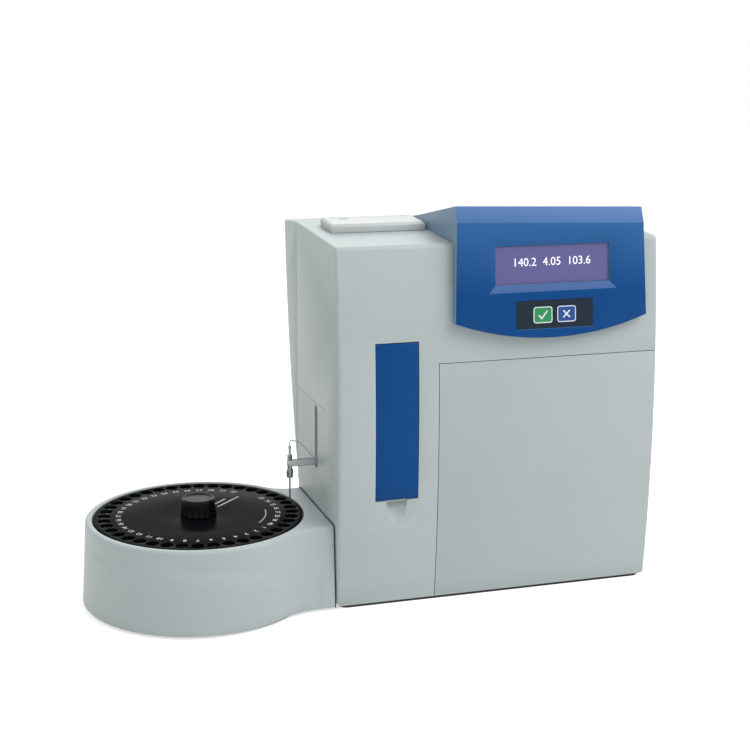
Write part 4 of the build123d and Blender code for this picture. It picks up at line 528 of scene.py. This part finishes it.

# %% [markdown]
# ## The hood's painted reflection
# The hood's brow and its left facet look much paler than its front in the photograph, because they mirror a
# white room, and the front grows paler towards its top. A lit studio round the object would show that in
# one blue. Here the reflection is painted: a pale blue is mixed into the colour by the height and by the
# way each face points, upwards or to the left. The price is that it stays so under any other light.

# %% Hood colour with painted reflection
hood_painted_reflection = finish("hood plastic with painted reflection", satin_blue, 0.34, drift=0.04, grain=0.45, depth=0.008, shine=0.12)
hood_tree = hood_painted_reflection.node_tree
hood_shader = hood_tree.nodes["Principled BSDF"]
facing = hood_tree.nodes.new("ShaderNodeNewGeometry")
parts = hood_tree.nodes.new("ShaderNodeSeparateXYZ")
hood_tree.links.new(facing.outputs["True Normal"], parts.inputs["Vector"])
blue_and_painted_reflection = hood_shader.inputs["Base Color"].links[0].from_socket
heights = hood_tree.nodes.new("ShaderNodeSeparateXYZ")
hood_tree.links.new(facing.outputs["Position"], heights.inputs["Vector"])
low_front, crease = at(0, 0, 318.0).z, at(0, 0, 394.0).z
# Painted reflection: each row mixes in a pale blue by height up the front, on upward faces and on left
# faces.
for source, axis, start, end, share, pale in (
        (heights, "Z", low_front, crease, 0.62, seen(0.27, 0.475, 0.70)),
        (parts, "Z", 0.2, 0.34, 0.34, seen(0.50, 0.60, 0.80)),
        (parts, "X", -0.75, -0.95, 0.80, seen(0.54, 0.64, 0.71))):
    span = hood_tree.nodes.new("ShaderNodeMapRange")
    span.inputs["From Min"].default_value = start
    span.inputs["From Max"].default_value = end
    span.inputs["To Max"].default_value = share
    hood_tree.links.new(source.outputs[axis], span.inputs["Value"])
    mixed = hood_tree.nodes.new("ShaderNodeMix")
    mixed.data_type = "RGBA"
    mixed.inputs["B"].default_value = pale
    hood_tree.links.new(span.outputs["Result"], mixed.inputs["Factor"])
    hood_tree.links.new(blue_and_painted_reflection, mixed.inputs["A"])
    blue_and_painted_reflection = mixed.outputs["Result"]
hood_tree.links.new(blue_and_painted_reflection, hood_shader.inputs["Base Color"])
frame["nodes"]["console_hood"].data.materials[0] = hood_painted_reflection

# %% [markdown]
# ## The fluted knob
# A hand turns the disc by a fluted knob with a dished top. Its side leans in a little, its rim is rounded,
# and eighteen shallow flutes run up the side. A ring of points whose radius follows a wave makes the
# flutes, which is simpler than cutting them one by one.

# %% Knob
knob_profile = [(18.2, 85.4, 0.0), (18.6, 85.9, 0.0), (18.45, 87.0, 0.5), (17.9, 94.5, 1.0),
                (17.4, 100.5, 1.0), (17.2, 102.3, 0.8), (16.7, 103.3, 0.3), (15.9, 103.9, 0.0),
                (15.1, 103.8, 0.0), (14.2, 103.0, 0.0), (11.0, 102.0, 0.0), (6.0, 101.4, 0.0),
                (0.6, 101.2, 0.0)]
flute_count, flute_depth, knob_sides = 18, 0.45, 144
knob_form = bmesh.new()
knob_rows = []
for radius, height, share in knob_profile:
    row = []
    for side in range(knob_sides):
        angle = 2 * math.pi * side / knob_sides
        wave = (1 - math.cos(flute_count * angle)) / 2
        reach = radius - flute_depth * share * wave
        row.append(knob_form.verts.new(at(sampler_x + reach * math.cos(angle),
                                          sampler_y + reach * math.sin(angle), height)))
    knob_rows.append(row)
for near, far in zip(knob_rows, knob_rows[1:]):
    for side in range(knob_sides):
        after = (side + 1) % knob_sides
        knob_form.faces.new((near[side], near[after], far[after], far[side]))
knob_form.faces.new(knob_rows[0][::-1])
knob_form.faces.new(knob_rows[-1])
bmesh.ops.recalc_face_normals(knob_form, faces=knob_form.faces)
knob_mesh = bpy.data.meshes.new("fluted_knob")
knob_form.to_mesh(knob_mesh)
knob_form.free()
for face in knob_mesh.polygons:
    face.use_smooth = len(face.vertices) == 4
fluted_knob = piece("fluted_knob", knob_mesh, "turntable", "black_plastic", knob_black)
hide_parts("turntable_knob")
print("knob faces:", len(knob_mesh.polygons))

# %% [markdown]
# ## The needle's fittings
# A ribbed nut below the arm grips the needle, and a short coiled sleeve above it keeps the thin tube from
# kinking. Both are turned parts, so a profile spun about the needle's axis is the honest way to make them.
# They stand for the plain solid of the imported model.

# %% Turned fittings


def turned(name, profile, sides=32):
    """The mesh of a profile of radius and height pairs, spun about the needle's axis."""
    form = bmesh.new()
    rows = []
    for radius, height in profile:
        rows.append([form.verts.new(at(needle_x + radius * math.cos(2 * math.pi * side / sides),
                                       needle_y + radius * math.sin(2 * math.pi * side / sides), height))
                     for side in range(sides)])
    for near, far in zip(rows, rows[1:] + rows[:1]):
        for side in range(sides):
            after = (side + 1) % sides
            form.faces.new((near[side], near[after], far[after], far[side]))
    bmesh.ops.recalc_face_normals(form, faces=form.faces)
    mesh = bpy.data.meshes.new(name)
    form.to_mesh(mesh)
    form.free()
    return mesh


bore = 1.0
nut_profile = [(bore, 118.3), (2.6, 118.3), (3.3, 119.0)]
for rib in range(5):
    low = 119.3 + rib * 1.5
    nut_profile += [(3.6, low), (3.6, low + 0.9), (3.1, low + 1.1), (3.1, low + 1.4)]
nut_profile += [(3.4, 126.9), (3.2, 127.6), (2.5, 127.8), (2.5, 130.5), (bore, 130.5)]
needle_nut = piece("needle_nut", turned("needle_nut", nut_profile), "needle_lift", "stainless_steel")
sleeve_profile = [(bore, 137.2), (2.7, 137.2)]
for coil in range(5):
    low = 137.4 + coil * 1.16
    sleeve_profile += [(2.3, low), (2.65, low + 0.3), (2.75, low + 0.55), (2.65, low + 0.85)]
sleeve_profile += [(2.1, 143.3), (1.3, 143.6), (1.3, 150.0), (1.5, 150.3), (1.5, 152.6), (bore, 153.0)]
piece("needle_sleeve", turned("needle_sleeve", sleeve_profile), "needle_lift", "stainless_steel")
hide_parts("needle_fittings")
print("fittings:", len(nut_profile), "and", len(sleeve_profile), "steps")

# %% [markdown]
# ## Painted shadow under the housings
# Both housings stand a few millimetres over the bench, and the gap under each one lies in shade. From the
# front it shows as a dark line along the bottom. A narrow black frame under the tower and a black ring
# under the drum are painted shadow that makes that line.

# %% Painted shadow frame and ring
shadow_strip_low, shadow_strip_high, drum_shadow_outer, drum_shadow_inner = -2.8, 0.1, 114.5, 108.0
# A black frame under the tower: painted shadow in the gap under it.
tower_shadow_sheet = Sheet((0, 0, 0), (1, 0, 0), (0, 0, 1))
tower_shadow_sheet.raise_ring(rounded(5.0, 345.0, 8.4, 156.0, 8.0), rounded(11.0, 339.0, 14.4, 150.0, 3.0),
                 shadow_strip_low, shadow_strip_high)
piece("tower_painted_shadow", tower_shadow_sheet.mesh("tower_painted_shadow"), "housing", "black_rubber")


def circle(radius, sides=96):
    """A round outline about the turntable's axis."""
    return [(sampler_x + radius * math.cos(2 * math.pi * side / sides),
             sampler_y + radius * math.sin(2 * math.pi * side / sides)) for side in range(sides)]


# A black ring under the drum: painted shadow in the gap under it.
ring = Sheet((0, 0, 0), (1, 0, 0), (0, 0, 1))
ring.raise_ring(circle(drum_shadow_outer), circle(drum_shadow_inner), shadow_strip_low, shadow_strip_high)
piece("drum_painted_shadow", ring.mesh("drum_painted_shadow"), "housing", "black_rubber")
print("two skirts added")

# %% [markdown]
# ## Painted shade in the seams
# A gap between two mouldings looks black, because hardly any light gets in and out of it. That shade is
# painted here: the door's gap gets a thin black strip just under the surface, which follows the bowed
# front, and the joint between the neck and the tower gets a black ring of painted shade. The neck's own
# end gives the ring its outline.

# %% Painted seam shade
bow_radius, bow_height = 1667.0, 155.0
shade_set_back, shade_depth = 0.2, 1.2


def front_depth(z):
    """How far back the bowed front is at a height."""
    return bow_radius - math.sqrt(bow_radius ** 2 - (z - bow_height) ** 2)


def lining(name, x0, x1, z0, z1, steps):
    """A black strip of painted shade just behind the bowed front, between two sides and two heights."""
    form = bmesh.new()
    rows = []
    for step in range(steps + 1):
        z = z0 + (z1 - z0) * step / steps
        near = front_depth(z) + shade_set_back
        far = near + shade_depth
        rows.append([form.verts.new(at(x, y, z)) for x, y in ((x0, near), (x1, near), (x1, far), (x0, far))])
    for low, high in zip(rows, rows[1:]):
        for side in range(4):
            after = (side + 1) % 4
            form.faces.new((low[side], low[after], high[after], high[side]))
    form.faces.new(rows[0][::-1])
    form.faces.new(rows[-1])
    bmesh.ops.recalc_face_normals(form, faces=form.faces)
    mesh = bpy.data.meshes.new(name)
    form.to_mesh(mesh)
    form.free()
    return piece(name, mesh, "housing", "black_rubber")


side_gap, top_gap = (106.14, 106.72), (250.36, 250.94)
door_foot, side_gap_top, door_right = 4.0, 250.9, 348.5
# Black strips in the door's side and top gaps: painted shade.
lining("door_side_seam_shade", *side_gap, door_foot, side_gap_top, 24)
lining("door_top_seam_shade", side_gap[1], door_right, *top_gap, 1)
neck = frame["nodes"]["sampler_housing"]
ends = [(neck.matrix_world @ vertex.co - housing_corner) / MM for vertex in neck.data.vertices]
neck_end = max(place.x for place in ends)
section = [Vector((place.y, place.z)) for place in ends if place.x > neck_end - 0.01]
outline = [section[index] for index in convex_hull_2d(section)]
centre = Vector(((min(p.x for p in outline) + max(p.x for p in outline)) / 2,
                 (min(p.y for p in outline) + max(p.y for p in outline)) / 2))
reach = Vector((max(p.x for p in outline) - centre.x, max(p.y for p in outline) - centre.y))


def resized(points, by):
    """An outline made larger by some millimetres on each side, or smaller where the number is negative."""
    return [(centre.x + (p.x - centre.x) * (1 + by / reach.x),
             centre.y + (p.y - centre.y) * (1 + by / reach.y)) for p in points]


# A black ring round the neck's end: painted shade in the joint with the tower.
seam_shade_proud, seam_shade_width = 0.45, 1.5
neck_seam_sheet = Sheet((neck_end, 0, 0), (0, 1, 0), (1, 0, 0))
neck_seam_sheet.raise_ring(resized(outline, seam_shade_proud), resized(outline, -seam_shade_width), -1.0, -0.05)
piece("neck_seam_shade", neck_seam_sheet.mesh("neck_seam_shade"), "housing", "black_rubber")
print("neck ends at", round(neck_end, 2), "with", len(outline), "outline points")

# %% [markdown]
# ## A floor and a backdrop
# A catalogue picture has a plain white ground with only a soft shadow. The floor is pale, and for the
# camera and for mirror-like and see-through surfaces it gives off a little light, so it turns white where
# nothing shades it. The object's own matt surfaces get none of that light.

# %% Floor
floor_mesh = bpy.data.meshes.new("floor")
floor_form = bmesh.new()
half_floor = 6.0
corners = [floor_form.verts.new((x * half_floor, y * half_floor, cad_low.z))
           for x, y in ((-1, -1), (1, -1), (1, 1), (-1, 1))]
floor_form.faces.new(corners)
floor_form.to_mesh(floor_mesh)
floor_form.free()
floor = bpy.data.objects.new("floor", floor_mesh)
bpy.context.scene.collection.objects.link(floor)

ground = bpy.data.materials.new("pale floor")
ground.use_nodes = True
ground_tree = ground.node_tree
ground_shader = ground_tree.nodes["Principled BSDF"]
ground_shader.inputs["Base Color"].default_value = (0.80, 0.80, 0.80, 1.0)
ground_shader.inputs["Roughness"].default_value = 0.9
ground_shader.inputs["Specular IOR Level"].default_value = 0.0


def any_ray(tree, kinds):
    """A number that is 1 for a ray of any of these kinds, and 0 for every other ray."""
    path = tree.nodes.new("ShaderNodeLightPath")
    found = path.outputs[kinds[0]]
    for kind in kinds[1:]:
        larger = tree.nodes.new("ShaderNodeMath")
        larger.operation = "MAXIMUM"
        tree.links.new(found, larger.inputs[0])
        tree.links.new(path.outputs[kind], larger.inputs[1])
        found = larger.outputs["Value"]
    return found


background_rays = ("Is Camera Ray", "Is Transmission Ray", "Is Glossy Ray")
lift = ground_tree.nodes.new("ShaderNodeEmission")
lift.inputs["Strength"].default_value = 0.57
plain = ground_tree.nodes.new("ShaderNodeEmission")
plain.inputs["Strength"].default_value = 0.0
seen_only = ground_tree.nodes.new("ShaderNodeMixShader")
ground_tree.links.new(any_ray(ground_tree, background_rays), seen_only.inputs["Fac"])
ground_tree.links.new(plain.outputs["Emission"], seen_only.inputs[1])
ground_tree.links.new(lift.outputs["Emission"], seen_only.inputs[2])
summed = ground_tree.nodes.new("ShaderNodeAddShader")
ground_tree.links.new(ground_shader.outputs["BSDF"], summed.inputs[0])
ground_tree.links.new(seen_only.outputs["Shader"], summed.inputs[1])
ground_tree.links.new(summed.outputs["Shader"], ground_tree.nodes["Material Output"].inputs["Surface"])
floor_mesh.materials.append(ground)
print("floor", 2 * half_floor, "metres wide")

# %% [markdown]
# ## The surroundings
# Round the object is a plain white room. It gives an even light from all sides, weaker than white, or the
# pale case would burn out. What the camera sees of it, directly or in shiny and see-through surfaces, is
# full white, so the picture's background stays clean without more light on the object.

# %% World light
world = bpy.data.worlds.new("studio")
bpy.context.scene.world = world
world.use_nodes = True
sky_tree = world.node_tree
sky_light = sky_tree.nodes["Background"]
sky_light.inputs["Color"].default_value = (1.0, 1.0, 1.0, 1.0)
sky_light.inputs["Strength"].default_value = 0.55
sky_white = sky_tree.nodes.new("ShaderNodeBackground")
sky_white.inputs["Color"].default_value = (1.0, 1.0, 1.0, 1.0)
sky_white.inputs["Strength"].default_value = 1.0
sky_mix = sky_tree.nodes.new("ShaderNodeMixShader")
sky_tree.links.new(any_ray(sky_tree, background_rays), sky_mix.inputs["Fac"])
sky_tree.links.new(sky_light.outputs["Background"], sky_mix.inputs[1])
sky_tree.links.new(sky_white.outputs["Background"], sky_mix.inputs[2])
sky_tree.links.new(sky_mix.outputs["Shader"], sky_tree.nodes["World Output"].inputs["Surface"])
print("world light:", round(sky_light.inputs["Strength"].default_value, 2))

# %% [markdown]
# ## Studio lamps
# Three large soft boxes light the machine: a strong one high over the front right, a weak one that keeps
# the left side from going dark, and one behind that separates the top from the background. Large lamps give
# shadows the soft edges that a photographer's tent does.

# %% Soft boxes


def soft_box(name, place, target, size, power):
    """An area lamp in metres and watts that faces a target."""
    lamp = bpy.data.lights.new(name, "AREA")
    lamp.shape = "SQUARE"
    lamp.size = size
    lamp.energy = power
    holder = bpy.data.objects.new(name, lamp)
    holder.location = place
    holder.rotation_mode = "QUATERNION"
    holder.rotation_quaternion = (Vector(target) - Vector(place)).to_track_quat("-Z", "Y")
    bpy.context.scene.collection.objects.link(holder)
    return holder


middle = (cad_low + cad_high) / 2
lamps = (("high box", (1.2, -1.0, 1.9), 1.6, 28), ("left box", (-1.6, -0.9, 1.1), 1.4, 3),
         ("rear box", (0.2, 1.7, 1.6), 1.4, 10))
for name, place, size, power in lamps:
    soft_box(name, place, middle, size, power)
print(len(lamps), "soft boxes")

# %% [markdown]
# ## The camera
# The picture's vanishing lines give the camera: about a metre and a half away, a little above the machine's
# top and to its left, with a moderate telephoto lens. It leans by a third of a degree, as a hand-set tripod
# does.

# %% Camera at the photograph's angle
camera_place = at(-400.39, -1384.95, 585.32)
camera_target = at(37.455, 0.0, 244.26)
camera_roll = 0.0064
camera_data = bpy.data.cameras.new("camera")
camera_data.sensor_width = 36.0
camera_data.lens = 71.98
camera = bpy.data.objects.new("camera", camera_data)
ahead = (camera_target - camera_place).normalized()
level_right = ahead.cross(Vector((0, 0, 1))).normalized()
level_up = level_right.cross(ahead)
right = level_right * math.cos(camera_roll) + level_up * math.sin(camera_roll)
up = right.cross(ahead)
camera.rotation_mode = "QUATERNION"
camera.rotation_quaternion = Matrix((right, up, -ahead)).transposed().to_quaternion()
camera.location = camera_place
bpy.context.scene.collection.objects.link(camera)
bpy.context.scene.camera = camera
bpy.context.scene.view_settings.view_transform = "Standard"
print("camera at", [round(value, 3) for value in camera_place])
